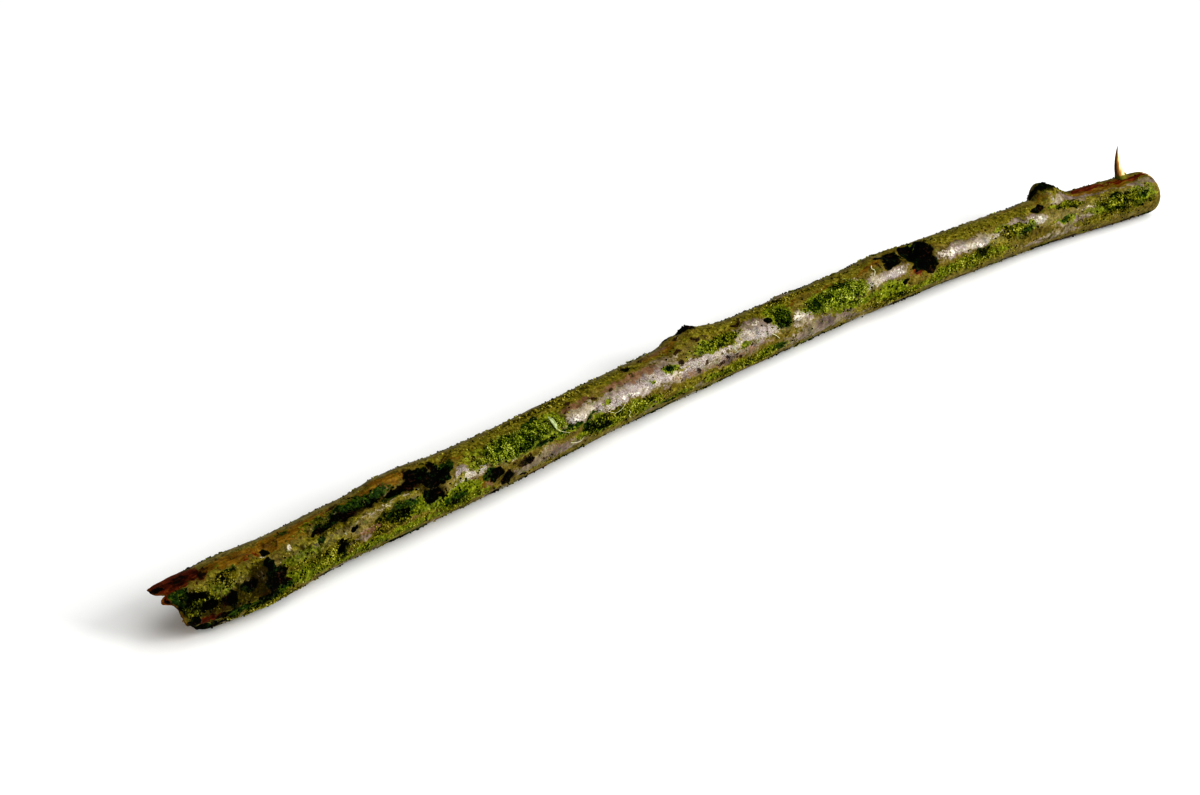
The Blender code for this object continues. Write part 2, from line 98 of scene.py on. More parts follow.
# What lies on the bark layer by layer, painted shade among the layers: place, angle, half length, half turn,
# strength.
stains = {
    "bare": (
        (-24.2, 133, 5, 18, 0.92), (-18, 139, 6, 19, 0.95), (-10, 131, 8, 25, 1), (0, 140, 9, 12, 1),
        (4, 160, 13, 12, 0.8), (13.5, 118, 4.5, 16, 0.85), (13.5, 137, 6, 13, 1), (23.4, 137, 2.3, 17, 1),
        (29, 178, 11, 17, 0.85), (-35, 178, 7, 14, 0.8), (-27.5, 180, 4, 12, 0.75), (-70, 172, 3.2, 9, 0.75),
        (-64, 183, 2.5, 8, 0.7), (42.5, 136, 5.5, 14, 1), (61, 134, 7.4, 18, 1), (70, 131, 4.5, 10, 0.75),
        (78, 132, 2.4, 15, 0.9), (87, 168, 6.5, 16, 0.7), (92, 136, 6, 6, 0.5), (102.3, 117, 3.2, 12, 1),
        (-48.4, 141, 3.2, 19, 0.95), (-81, 131, 4, 7, 0.35), (-66, 133, 9.5, 4, 0.55),
        (-12, 192, 7, 12, 0.65), (68, 185, 7, 10, 0.6), (73, 124, 5, 12, 0.75), (-6, 108, 5, 12, 0.6),
        (14, 100, 2.5, 10, 0.35), (-35, 192, 9, 8, 0.6), (-22, 190, 5, 9, 0.55), (4, 192, 9, 8, 0.7),
        (22, 193, 8, 9, 0.65), (37, 190, 6, 10, 0.65), (52, 192, 6, 9, 0.65), (80, 188, 8, 12, 0.6),
        (97, 186, 4, 8, 0.45), (17.5, 146, 2.6, 7, 0.7), (66, 140, 4, 6, 0.6), (36, 142, 2.6, 7, 0.55),
        (86, 101, 5.5, 13, 0.9), (82.8, 93, 2.8, 7, 0.9), (88.5, 108, 4, 7, 0.8), (95, 111, 5, 5, 0.7),
        (-3, 88, 5, 10, 0.5), (30, 92, 4, 8, 0.45),
    ),
    "ochre": (
        (-92, 92, 7, 15, 0.9), (-82, 92, 7, 18, 1), (-74, 86, 4, 12, 0.8), (-62, 86, 5.5, 14, 1),
        (-90, 177, 2.4, 8, 0.8), (-48, 88, 4.5, 18, 0.8), (-43, 99, 3.4, 8, 0.7), (-46.3, 172, 1.1, 16, 1),
        (-5, 82, 5, 16, 0.75), (22.5, 103, 2.2, 13, 0.8), (31.5, 105, 3, 9, 0.75), (41, 92, 4, 18, 0.9),
        (48.2, 151, 2.4, 6, 0.8), (81, 88, 2.5, 10, 0.7), (95.5, 90, 8.5, 18, 0.95), (-24, 92, 2, 8, 0.5),
        (-12, 112, 4, 8, 0.5), (72, 84, 6, 14, 0.5), (27, 84, 3, 12, 0.6),
    ),
    "russet": (
        (-67, 161, 4.6, 9, 1), (-64.3, 172, 2, 7, 1), (-60.8, 173, 1.4, 6, 1), (-45.3, 163, 1.6, 7, 0.7),
        (-46, 178, 1.2, 12, 0.7), (-27.5, 158, 3, 6, 0.7), (-26.6, 112, 2.7, 10, 1), (-23.4, 109, 3, 9, 1),
        (-17, 113, 3.2, 9, 1), (-10.5, 113, 4.5, 11, 1), (11.5, 161, 2.4, 7, 0.75), (4, 163, 9, 10, 0.65),
        (-3, 158, 4, 9, 0.65), (15, 160, 3, 9, 0.55), (21.5, 112, 1.4, 6, 0.6), (47.5, 156, 2.3, 5, 0.75),
        (-52, 158, 2, 6, 0.6), (44, 152, 3, 6, 0.55), (-5, 75, 3, 12, 0.65), (-20, 100, 4, 7, 0.55),
        (85, 96, 6, 8, 0.55), (-30, 172, 5, 12, 0.55), (-96, 108, 3, 6, 0.5), (-70, 76, 3, 8, 0.5),
        (12, 98, 2, 9, 0.6),
    ),
    # pale peeled skin and pale ridges; the rows along the gloss line, near 130 to 147 degrees, are a painted
    # highlight
    "pale": (
        (-82.8, 124, 0.9, 6, 0.6), (-80.4, 134, 0.9, 4, 0.6), (-84.3, 134, 0.9, 4, 0.5),
        (-86.8, 110, 0.9, 5, 0.6), (-89.2, 140, 0.7, 28, 0.42), (-72.8, 147, 0.9, 4, 0.6),
        (-68.5, 129, 1.8, 3.4, 0.7), (-61.5, 131, 4.4, 3.2, 0.95), (-51.2, 154, 3, 4.5, 0.7),
        (-25.5, 141, 2.2, 5, 0.45), (-13, 144, 8, 4, 0.4), (14.9, 114, 1.4, 6, 0.5), (23, 138, 1.5, 10, 0.6),
        (44, 134, 4, 6, 0.42), (57, 136, 2.4, 13, 0.6), (63, 138, 3.5, 6, 0.5), (78.2, 133, 1.4, 8, 0.5),
        (-40, 150, 1.4, 6, 0.55), (36.5, 110, 2, 6, 0.5), (105.3, 88, 1.4, 30, 0.7),
    ),
    "olive": (
        (-94, 124, 6, 20, 0.9), (-92, 165, 4, 22, 0.7), (-78, 100, 3.5, 8, 0.6), (-79, 158, 7, 28, 0.9),
        (-76, 126, 9, 9, 0.85), (-60, 132, 6, 8, 0.6), (-88, 122, 3, 10, 0.7), (84.5, 76, 3.5, 16, 0.9),
        (-43, 86, 10, 18, 0.85), (-30, 88, 13, 20, 1), (-17, 84, 10, 16, 0.95), (-2, 92, 8, 12, 0.5),
        (9, 86, 7, 18, 0.85), (19, 86, 6, 22, 0.9), (35, 86, 10, 16, 0.8), (63, 91, 11, 22, 1),
        (74, 98, 7, 18, 0.8), (82, 100, 2.5, 10, 0.6), (-52, 85, 5, 14, 0.6), (-17, 190, 9, 14, 0.7),
        (4, 182, 12, 14, 0.75), (62, 186, 12, 14, 0.7), (93, 176, 9, 14, 0.75), (-64, 192, 14, 12, 0.8),
        (40, 182, 7, 16, 0.7), (-33, 196, 10, 8, 0.5), (71, 152, 6, 14, 0.8), (90, 122, 8, 10, 0.6),
        (99, 146, 5, 20, 0.6), (-46, 118, 3.5, 24, 0.9), (-51, 145, 1.8, 5, 0.8), (-3.4, 139, 2, 9, 0.6),
    ),
    "green": (
        (-100.5, 152, 3, 24, 0.6), (-96, 140, 3.4, 26, 0.5), (-90, 192, 9, 11, 0.7), (-80, 180, 7, 22, 0.85),
        (-68, 194, 13, 10, 0.85), (-60, 160, 6, 18, 0.85), (-52, 170, 5.5, 20, 0.9),
        (-51.5, 192, 7, 10, 0.8), (-45.5, 125, 4, 26, 0.5), (-37.5, 127, 8.5, 29, 1),
        (-31, 120, 3.5, 22, 0.8), (-30, 150, 5, 9, 0.9), (-17.5, 174, 10, 16, 0.85), (-19, 134, 1.2, 4, 0.8),
        (-9.4, 140, 0.7, 4, 0.8), (-4.8, 131, 1.9, 10, 0.85), (10.8, 146, 0.9, 6, 0.9),
        (8.5, 133, 0.8, 4, 0.6), (-22, 122, 0.6, 4, 0.5), (5, 119, 6, 15, 0.9), (11, 189, 10, 13, 0.95),
        (19.5, 112, 2.8, 32, 0.9), (31.5, 133, 7.4, 29, 1), (36, 165, 5.5, 12, 0.75), (43, 172, 4, 24, 0.8),
        (47.8, 92, 1, 18, 1), (51.5, 82, 1.1, 16, 1), (50, 188, 7, 12, 0.75), (61, 174, 10, 16, 0.9),
        (70, 122, 3.5, 10, 0.55), (74.5, 142, 3.5, 15, 0.85), (85, 121, 4, 9, 0.8), (84, 155, 3.4, 9, 0.65),
        (94, 150, 6, 22, 0.8), (100.6, 150, 3.4, 26, 0.95), (-73, 96, 8, 12, 0.6), (-81, 146, 5, 14, 0.6),
        (-7, 192, 8, 8, 0.7), (-22.5, 160, 3.5, 7, 0.7), (-12, 129, 0.5, 3, 0.5), (3.5, 132, 1.2, 4, 0.6),
    ),
    "deep": (
        (-102.2, 129, 1.8, 24, 1), (-93, 113, 2, 6, 0.75), (-91.6, 155, 1.4, 9, 0.8), (-93, 192, 5, 10, 0.9),
        (-68, 98, 7, 13, 0.85), (-75, 110, 3.4, 7, 0.9), (-63, 150, 4, 14, 0.95), (-62, 120, 3.4, 8, 0.7),
        (-76.7, 138, 1, 6, 0.8), (-74, 172, 1, 13, 0.8), (-51.2, 109, 1.4, 16, 1), (-55, 96, 0.9, 12, 0.7),
        (-52.5, 178, 3.2, 13, 0.75), (-37.5, 143, 2.2, 10, 0.65), (-34.5, 100, 2, 7, 0.9),
        (-33.5, 151, 2.4, 7, 0.7), (-29, 150, 2.6, 4, 0.9), (-26.3, 151, 1.2, 4, 1), (-23.2, 147, 2, 4, 0.8),
        (-5.4, 130, 1.1, 6, 0.8), (-24.2, 162, 1.4, 11, 0.85), (-44.6, 163, 1.5, 14, 0.9),
        (-21.5, 178, 2.4, 9, 0.8), (-81.3, 85, 1.1, 8, 0.8), (20, 127, 1.5, 24, 1), (27, 134, 2.2, 15, 0.8),
        (33.6, 112, 1.2, 6, 0.9), (18, 185, 1.8, 8, 0.75), (44, 187, 1.5, 7, 0.85), (47.8, 98, 0.8, 16, 0.8),
        (64.5, 157, 1.9, 6, 0.8), (75.3, 146, 1.5, 8, 0.85), (83, 156, 1.1, 6, 0.8),
        (94.5, 160, 2.4, 8, 0.8), (101.2, 150, 1.4, 10, 0.8), (-87, 188, 4, 9, 0.9), (84, 64, 2.2, 9, 0.8),
        (84.8, 74, 2.4, 8, 0.85), (96, 126, 1.3, 5, 0.8), (86, 127, 1.2, 5, 0.8), (-7, 195, 2, 6, 0.8),
    ),
    "red": (
        (-101, 84, 4.6, 26, 1), (-97.5, 106, 1.4, 6, 0.8), (-88, 100, 1.7, 9, 0.5), (-98.4, 191, 2.1, 10, 1),
        (-104.4, 118, 1, 14, 1), (-103.4, 104, 1.4, 8, 0.9), (-48.5, 152, 0.8, 5, 0.5),
        (92, 76, 3.4, 15, 0.9), (97.5, 84, 4.5, 10, 0.62), (101.8, 92, 2.4, 10, 1), (49.6, 153, 1.2, 5, 0.8),
    ),
    "umber": (
        (-12.5, 84, 1.2, 8, 1), (-17.4, 113, 0.6, 4, 0.75), (-2.4, 125, 0.8, 6, 0.7), (2.2, 95, 1.2, 4, 0.8),
        (-2, 100, 1, 5, 0.7), (11.2, 97, 1.1, 8, 1), (-8, 108, 0.9, 4, 0.6), (0, 158, 0.9, 5, 0.6),
        (5, 166, 1, 5, 0.6), (-26.5, 100, 1.4, 5, 0.6), (-38, 163, 2.4, 6, 0.7), (-3.6, 162, 0.6, 5, 0.5),
        (2.6, 152, 0.7, 4, 0.6), (6.6, 158, 0.8, 4, 0.7), (9.4, 168, 0.6, 6, 0.65),
        (12.4, 158, 0.6, 4, 0.55), (-6.6, 170, 0.7, 6, 0.55), (-21.4, 116, 0.7, 5, 0.6),
        (-14.4, 118, 0.5, 5, 0.55), (-27.6, 117, 0.6, 6, 0.6), (-34, 183, 0.9, 6, 0.5),
        (-50.5, 87, 1.3, 8, 0.5), (-72, 82, 1.5, 7, 0.7), (-57.5, 84, 1.5, 9, 0.7), (42.6, 106, 0.7, 7, 0.5),
        (35, 155, 1.2, 5, 0.5), (62, 82, 1.5, 5, 0.4), (-0.5, 72, 1.2, 5, 0.7), (-9, 80, 1.8, 5, 0.5),
        (6, 84, 1.6, 5, 0.5), (13, 82, 1.4, 5, 0.5), (-23, 82, 1.8, 5, 0.4), (83.2, 75, 1, 4, 1),
        (-97.2, 98, 1, 7, 0.8), (-101, 88, 1.6, 6, 0.6), (8, 160, 0.8, 4, 0.6),
    ),
    # painted shade: darkens the bark and the growths on it where shade falls, and takes their gloss away
    "paintedShade": (
        (-94, 165, 8, 24, 0.7), (-80, 142, 5.5, 26, 0.42), (-74, 130, 5, 14, 0.45), (-63, 166, 5, 14, 0.35),
        (-88, 156, 4, 40, 0.85), (-101, 152, 3.8, 30, 0.68), (-97.5, 142, 4, 20, 0.4),
        (-94.2, 122, 3.2, 14, 0.4), (-38, 128, 7, 22, 0.28), (-70, 112, 10, 10, 0.7),
        (-56, 128, 3, 34, 0.65), (-34, 150, 7, 8, 0.4), (-24, 160, 2.5, 8, 0.4), (50, 108, 6, 30, 0.5),
        (97, 168, 9, 12, 0.5), (100, 138, 3.6, 12, 0.4), (-100, 92, 6, 20, 0.6), (-43, 182, 2.4, 12, 0.5),
        (3, 56, 5, 12, 0.5), (75, 158, 5, 10, 0.5), (-84, 92, 3, 10, 0.5), (27.4, 134, 2, 10, 0.2),
        (-75, 100, 6, 14, 0.55), (86, 62, 5, 16, 0.5), (83.5, 72, 3, 11, 0.8),
    ),
    "black": (
        (-104.6, 92, 1.4, 9, 0.85), (-99.3, 134, 1.7, 8, 1), (-98, 160, 1.5, 7, 1), (-94.5, 163, 1.3, 18, 1),
        (-90.6, 151, 1.3, 7, 0.9), (-101.4, 193, 1.6, 17, 1), (-99.6, 215, 3.6, 15, 1),
        (-96.2, 194, 1.1, 9, 0.95), (-104.3, 122, 0.6, 5, 0.95), (-86.2, 103, 1, 10, 1),
        (-86.5, 132, 1.5, 14, 0.95), (-86.2, 158, 2.4, 26, 1), (-84.8, 178, 1.2, 9, 0.75),
        (-76, 113, 2.2, 6, 0.95), (-72.5, 111, 2.6, 7, 1), (-65.5, 113, 1.8, 7, 0.85), (-60, 113, 4, 11, 1),
        (-56.8, 98, 2.1, 24, 1), (-53.4, 103, 1.3, 20, 1), (-55.2, 128, 1.9, 18, 1),
        (-56.3, 148, 1.9, 12, 1), (-52.9, 118, 1.1, 16, 0.95), (-71.1, 147, 0.9, 6, 1),
        (-74, 165, 0.5, 14, 0.85), (-43.4, 160, 1.5, 7, 1), (-41.7, 182, 0.9, 19, 1),
        (-44.3, 168, 1.2, 11, 0.8), (-43, 168, 1, 9, 1), (-42.4, 194, 1, 5, 0.8), (-38, 200, 0.9, 6, 0.85),
        (-5.4, 128, 0.6, 5, 0.5), (-12.4, 83, 0.7, 6, 0.9), (3, 62, 1.9, 12, 1), (44.6, 86, 1.3, 13, 0.95),
        (44.8, 112, 1.1, 9, 0.9), (17.2, 118, 0.8, 7, 1), (45.9, 99, 1.6, 26, 1), (46.4, 80, 1.4, 12, 0.9),
        (49.9, 84, 1.3, 24, 1), (53.2, 88, 1.3, 22, 1), (45.2, 116, 1.6, 8, 0.9), (51.4, 115, 3.3, 24, 1),
        (51.8, 143, 2.3, 20, 1), (52.6, 162, 1.4, 9, 1), (49.5, 138, 1.5, 8, 0.9), (46.6, 166, 0.9, 9, 1),
        (79.2, 106, 1.15, 12, 1), (81.6, 67, 0.7, 7, 0.9), (82.3, 74, 1, 7, 0.6), (80.9, 59, 0.7, 7, 0.9),
        (83.4, 55, 1.8, 7, 0.9), (-0.9, 52, 1.2, 9, 1), (-24.5, 156, 0.6, 5, 0.5), (-36.8, 165, 1.2, 6, 0.7),
    ),
}


def between(first, last, share):
    return first + (last - first) * share


def clamp(value):
    return min(max(value, 0.0), 1.0)


def mound(distance):
    # 1 at distance 0, smoothly down to 0 at distance 1
    if distance >= 1:
        return 0.0
    return (1 - distance * distance) ** 2


def smoothStep(low, high, value):
    share = clamp((value - low) / (high - low))
    return share * share * (3 - 2 * share)


def smoothCurve(start, slopeIn, end, slopeOut, share):
    # the value at a share of the way from start to end, with these slopes at the two
    square = share * share
    cube = square * share
    return (
        (2 * cube - 3 * square + 1) * start + (cube - 2 * square + share) * slopeIn
        + (3 * square - 2 * cube) * end + (cube - square) * slopeOut
    )


def turnBetween(angle, other):
    # the signed turn from other to angle, the short way round
    return (angle - other + 180) % 360 - 180


def arc(angle, other, radius):
    return math.radians(turnBetween(angle, other)) * radius


def spotRound(place, angle, radius=1.0):
    # where noise is read for a place and angle on the twig
    turn = math.radians(angle)
    return Vector((place, radius * math.cos(turn), radius * math.sin(turn)))


def spotOnFace(reach, angle, depth):
    # where noise is read on a round end of the twig
    turn = math.radians(angle)
    return Vector((reach * math.cos(turn), reach * math.sin(turn), depth))


def routeValue(column, place):
    # one column of the route at a place, on a smooth curve through its rows
    route = twigForm["route"]
    row = 1
    while row < len(route) - 3 and place > route[row + 1][0]:
        row += 1
    before, start, end, after = route[row - 1:row + 3]
    span = end[0] - start[0]
    slopeIn = (end[column] - before[column]) / (end[0] - before[0]) * span
    slopeOut = (after[column] - start[column]) / (after[0] - start[0]) * span
    return smoothCurve(start[column], slopeIn, end[column], slopeOut, (place - start[0]) / span)


@lru_cache(maxsize=None)
def section(place):
    # sideways place, lift and radius of the twig at one place
    swellings = twigForm["swellings"]
    swell = sum(height * mound(abs(place - middle) / reach) for middle, reach, height in swellings)
    return routeValue(1, place), routeValue(2, place), routeValue(3, place) + swell


@lru_cache(maxsize=None)
def formsNear(cell):
    # only the bumps and lines that reach this millimetre of the twig, with one to spare
    bumps = [row for row in twigForm["bumps"] if row[0] - row[2] - 1 <= cell <= row[0] + row[3] + 1]
    lines = [
        row for row in twigForm["lines"]
        if min(row[0], row[2]) - row[4] - 1 <= cell <= max(row[0], row[2]) + row[4] + 1
    ]
    return bumps, lines


# How ragged the outlines on the bark are, in mm, and where a stain fades, in shares of its half size
stainEdge = {
    "slowRate": 0.42,
    "quickRate": 1.5,
    "along": (1.0, 0.60),
    "around": (0.80, 0.50),
    "smallStain": 2.6,
    "fullTo": 0.5,
    "goneAt": 1.4,
    "spare": 2.5,
}


@lru_cache(maxsize=64)
def wobbled(place, angle, radius):
    # shifts a place and angle, so that every outline on the bark is ragged
    spot = spotRound(place, angle, radius)
    slow = noise.noise_vector(spot * stainEdge["slowRate"])
    quick = noise.noise_vector(spot * stainEdge["quickRate"])
    slowAlong, quickAlong = stainEdge["along"]
    slowAround, quickAround = stainEdge["around"]
    return (
        place + slowAlong * slow.x + quickAlong * quick.x,
        angle + math.degrees((slowAround * slow.y + quickAround * quick.y) / radius),
    )


@lru_cache(maxsize=None)
def settled(layer):
    # a small stain is shifted as the bark around it is, so that it lies just where its row says
    rows = []
    for place, angle, halfLength, halfTurn, strength in stains[layer]:
        if halfLength <= stainEdge["smallStain"]:
            place, angle = wobbled(place, angle, section(place)[2])
        rows.append((place, angle, halfLength, halfTurn, strength))
    return rows


@lru_cache(maxsize=None)
def stainsNear(layer, cell):
    rows = twigForm["flakes"] if layer == "flakes" else settled(layer)
    return [row for row in rows if abs(cell - row[0]) <= row[2] * stainEdge["goneAt"] + stainEdge["spare"]]


def stainAt(layer, place, angle):
    # how much of a layer lies at a place and angle that are already wobbled
    most = 0.0
    for middle, turn, halfLength, halfTurn, strength in stainsNear(layer, round(place)):
        distance = math.hypot((place - middle) / halfLength, turnBetween(angle, turn) / halfTurn)
        if distance < stainEdge["goneAt"]:
            most = max(most, strength * (1 - smoothStep(stainEdge["fullTo"], stainEdge["goneAt"], distance)))
    return most


# The photo shows the side round seenMiddle. Slow noise spreads the layers over the rest.
hiddenSide = {
    "seenMiddle": 134,
    "seenUpTo": 70,
    "hiddenFrom": 84,
    "rateAlong": 0.11,
    "rateRound": 1.6,
    "lessBelow": 0.5,
}
# How each layer lies on the unseen side: strength, size of the noise, its shift, where it starts and is full
hiddenLayers = {
    "bare": (0.85, 1.3, (4, 4, 7), -0.05, 0.25),
    "ochre": (0.80, 1.0, (2, 5, 8), 0.05, 0.35),
    "russet": (0.70, 1.4, (1, 8, 5), 0.10, 0.36),
    "red": (0.55, 1.7, (5, 5, 2), 0.24, 0.45),
    "umber": (0.80, 2.2, (8, 2, 1), 0.20, 0.42),
    "pale": (0.60, 1.4, (9, 1, 5), 0.12, 0.40),
    "olive": (0.85, 1.0, (7, 3, 1), -0.20, 0.20),
    "green": (0.95, 1.0, (0, 0, 0), -0.10, 0.22),
    "deep": (0.90, 2.0, (1, 9, 4), 0.15, 0.40),
    # painted shade, spread over the unseen side too
    "paintedShade": (0.60, 1.2, (6, 6, 3), 0.00, 0.40),
    "black": (0.95, 3.0, (3, 2, 6), 0.36, 0.50),
}


def hiddenCover(layer, place, angle):
    # green and olive growth is thinner on the underside
    strength, size, shift, low, high = hiddenLayers[layer]
    spot = spotRound(place * hiddenSide["rateAlong"], angle, hiddenSide["rateRound"])
    below = max(-math.sin(math.radians(angle)), 0.0) if layer in ("green", "olive") else 0.0
    shade = 1 - hiddenSide["lessBelow"] * below
    return strength * shade * smoothStep(low, high, noise.noise(spot * size + Vector(shift)))


def layerAt(layer, place, angle, radius):
    shiftedPlace, shiftedAngle = wobbled(place, angle, radius)
    seen = stainAt(layer, shiftedPlace, shiftedAngle)
    fromMiddle = abs(turnBetween(angle, hiddenSide["seenMiddle"]))
    hidden = smoothStep(hiddenSide["seenUpTo"], hiddenSide["hiddenFrom"], fromMiddle)
    if hidden > 0:
        seen = max(seen, hidden * hiddenCover(layer, shiftedPlace, shiftedAngle))
    return seen


def layersAt(layers, place, angle, radius):
    return {layer: layerAt(layer, place, angle, radius) for layer in layers}


def formHeight(place, angle, radius):
    # the bumps, pits, ridges and grooves that the solid has too
    bumps, lines = formsNear(round(place))
    total = 0.0
    for middle, turn, back, front, halfWidth, height in bumps:
        along = place - middle
        reach = back if along < 0 else front
        total += height * mound(math.hypot(along / reach, arc(angle, turn, radius) / halfWidth))
    for first, firstTurn, last, lastTurn, halfWidth, height in lines:
        run = last - first
        rise = arc(lastTurn, firstTurn, radius)
        along = place - first
        across = arc(angle, firstTurn, radius)
        share = clamp((along * run + across * rise) / (run * run + rise * rise))
        total += height * mound(math.hypot(along - share * run, across - share * rise) / halfWidth)
    waveAt = spotRound(place / twigForm["waveLength"], angle)
    return total + twigForm["waveHeight"] * noise.noise(waveAt + twigForm["waveSeed"])


lenticelForm = {
    "seed": 5,
    "count": 170,
    "places": (-92, 100),
    "angles": (0, 360),
    "halfLengths": (0.22, 0.38),
    "halfWidths": (0.35, 0.75),
    "height": 0.11,
    "spare": 1.2,
}
lenticelDice = random.Random(lenticelForm["seed"])
lenticels = [
    [lenticelDice.uniform(*lenticelForm[key]) for key in ("places", "angles", "halfLengths", "halfWidths")]
    for _ in range(lenticelForm["count"])
]


@lru_cache(maxsize=None)
def lenticelsNear(cell):
    return [row for row in lenticels if abs(row[0] - cell) < lenticelForm["spare"]]


barkRelief = {
    # height, how quickly the noise changes along the twig and round it, its shift
    "noises": (
        (0.035, 0.16, 1.9, (0, 0, 0)),  # streaks
        (0.055, 0.55, 0.8, (3, 1, 9)),  # dents
        (0.035, 1.6, 1.6, (0, 0, 0)),  # pits
        (0.012, 1.7, 0.6, (0, 0, 0)),  # wrinkles
    ),
    "flakeEdge": (0.90, 1.04),
    # height and rate of the two noises in a black scar, then its depth
    "scarNoises": ((0.22, 0.95), (0.14, 2.2)),
    "scarDepth": 0.12,
    # mm along the bark and degrees round it over which its slope is taken
    "frameStep": 0.35,
    "frameTurn": 4.5,
}


def fineRelief(place, angle, radius):
    # what the bark has beyond the solid: grain, wrinkles, flake edges, rough scars, lenticels
    spot = spotRound(place, angle, radius)
    total = 0.0
    for height, along, around, shift in barkRelief["noises"]:
        stretched = Vector((spot.x * along, spot.y * around, spot.z * around))
        total += height * noise.noise(stretched + Vector(shift))
    shiftedPlace, shiftedAngle = wobbled(place, angle, radius)
    lifted = 0.0
    for middle, flakeTurn, halfLength, halfTurn, height in stainsNear("flakes", round(place)):
        across = turnBetween(shiftedAngle, flakeTurn) / halfTurn
        distance = math.hypot((shiftedPlace - middle) / halfLength, across)
        lifted = max(lifted, height * (1 - smoothStep(*barkRelief["flakeEdge"], distance)))
    torn = sum(height * noise.noise(spot * rate) for height, rate in barkRelief["scarNoises"])
    scar = layerAt("black", place, angle, radius) * (torn - barkRelief["scarDepth"])
    corky = 0.0
    for middle, spotTurn, halfLength, halfWidth in lenticelsNear(round(place)):
        distance = math.hypot((place - middle) / halfLength, arc(angle, spotTurn, radius) / halfWidth)
        corky = max(corky, lenticelForm["height"] * mound(distance))
    return total + lifted + scar + corky


def barkPoint(place, angle, height=0.0, reach=1.0, fine=True):
    # a point on the bark in metres; reach below 1 lies inside the wood
    side, lift, radius = section(place)
    relief = formHeight(place, angle, radius)
    if fine:
        relief += fineRelief(place, angle, radius)
    turn = math.radians(angle)
    out = (radius + relief + height) * reach
    up = max(lift + radius + out * math.sin(turn), 0.0)
    return Vector((place, side + out * math.cos(turn), up)) * mm


def barkFrame(place, angle, height=0.0):
    # where something stands on the bark: Z away from the bark, X along the twig
    middle = barkPoint(place, angle, height)
    along = barkPoint(place + barkRelief["frameStep"], angle, height) - middle
    around = barkPoint(place, angle + barkRelief["frameTurn"], height) - middle
    up = around.cross(along).normalized()
    if up.dot(spotRound(0, angle)) < 0:
        up = -up
    forward = (along - up * along.dot(up)).normalized()
    turned = Matrix((forward, up.cross(forward), up)).transposed().to_4x4()
    return Matrix.Translation(middle) @ turned


def newNode(tree, kind, **settings):
    node = tree.nodes.new(kind)
    for name, value in settings.items():
        setattr(node, name, value)
    return node


def feed(tree, socket, value):
    # a socket gets either a link or a plain value
    if isinstance(value, bpy.types.NodeSocket):
        tree.links.new(value, socket)
    elif isinstance(value, tuple) and len(value) == 3 and socket.type == "RGBA":
        socket.default_value = (*value, 1)
    else:
        socket.default_value = value


def feedAll(tree, node, values):
    for key, value in values.items():
        feed(tree, node.inputs[key], value)


def newMaterial(name):
    material = bpy.data.materials.new(name)
    material.use_nodes = True
    tree = material.node_tree
    return material, tree, tree.nodes["Principled BSDF"]


def objectPlace(tree, stretch=(1, 1, 1)):
    coords = newNode(tree, "ShaderNodeTexCoord")
    mapping = newNode(tree, "ShaderNodeMapping")
    feedAll(tree, mapping, {"Vector": coords.outputs["Object"], "Scale": stretch})
    return mapping.outputs["Vector"]


def addNoise(tree, place, size, detail=4, roughness=0.6):
    # size is the breadth of one spot in mm
    texture = newNode(tree, "ShaderNodeTexNoise")
    settings = {"Vector": place, "Scale": 1 / (size * mm), "Detail": detail, "Roughness": roughness}
    feedAll(tree, texture, settings)
    return texture.outputs["Fac"]


def addRamp(tree, factor, stops):
    ramp = newNode(tree, "ShaderNodeValToRGB")
    feed(tree, ramp.inputs["Fac"], factor)
    elements = ramp.color_ramp.elements
    while len(elements) < len(stops):
        elements.new(0.5)
    for element, (position, colour) in zip(elements, stops):
        element.position = position
        element.color = (*colour, 1)
    return ramp.outputs["Color"]


def addMix(tree, factor, first, second, blend="MIX"):
    mix = newNode(tree, "ShaderNodeMix", data_type="RGBA", blend_type=blend)
    feedAll(tree, mix, {"Factor": factor, 6: first, 7: second})  # 6 and 7 are the two colours
    return mix.outputs[2]


def addMixValue(tree, factor, first, second):
    mix = newNode(tree, "ShaderNodeMix", data_type="FLOAT")
    feedAll(tree, mix, {"Factor": factor, 2: first, 3: second})  # 2 and 3 are the two numbers
    return mix.outputs[0]


def addMath(tree, operation, first, second):
    node = newNode(tree, "ShaderNodeMath", operation=operation)
    feedAll(tree, node, {0: first, 1: second})
    return node.outputs["Value"]


def addRange(tree, value, low, high, outLow=0.0, outHigh=1.0):
    node = newNode(tree, "ShaderNodeMapRange", interpolation_type="SMOOTHSTEP")
    feedAll(tree, node, {"Value": value, "From Min": low, "From Max": high})
    feedAll(tree, node, {"To Min": outLow, "To Max": outHigh})
    return node.outputs["Result"]


def addBlend(tree, first, second, share):
    # a weighted mean of two values
    kept = addMath(tree, "MULTIPLY", first, 1 - share)
    return addMath(tree, "ADD", kept, addMath(tree, "MULTIPLY", second, share))


def addShift(tree, value, grain, spread):
    # a value that goes up and down with a noise
    shift = addMath(tree, "MULTIPLY", addMath(tree, "SUBTRACT", grain, 0.5), spread)
    return addMath(tree, "ADD", value, shift)


def addCells(tree, place, size):
    # small round grains: the gap between them, and a random shade for each
    cells = newNode(tree, "ShaderNodeTexVoronoi", feature="F1")
    feedAll(tree, cells, {"Vector": place, "Scale": 1 / (size * mm)})
    parts = newNode(tree, "ShaderNodeSeparateColor")
    feed(tree, parts.inputs["Color"], cells.outputs["Color"])
    return cells.outputs["Distance"], parts.outputs["Red"]


def addAttribute(tree, name):
    return newNode(tree, "ShaderNodeAttribute", attribute_name=name).outputs["Fac"]


def addBump(tree, height, distance, strength=1.0):
    bump = newNode(tree, "ShaderNodeBump")
    feedAll(tree, bump, {"Height": height, "Distance": distance, "Strength": strength})
    return bump.outputs["Normal"]


def raggedMask(tree, layer, grain, spread, low, high):
    # a layer covers fully where its attribute is near 1, and only in spots where it is near 0.4
    return addRange(tree, addShift(tree, addAttribute(tree, layer), grain, spread), low, high)


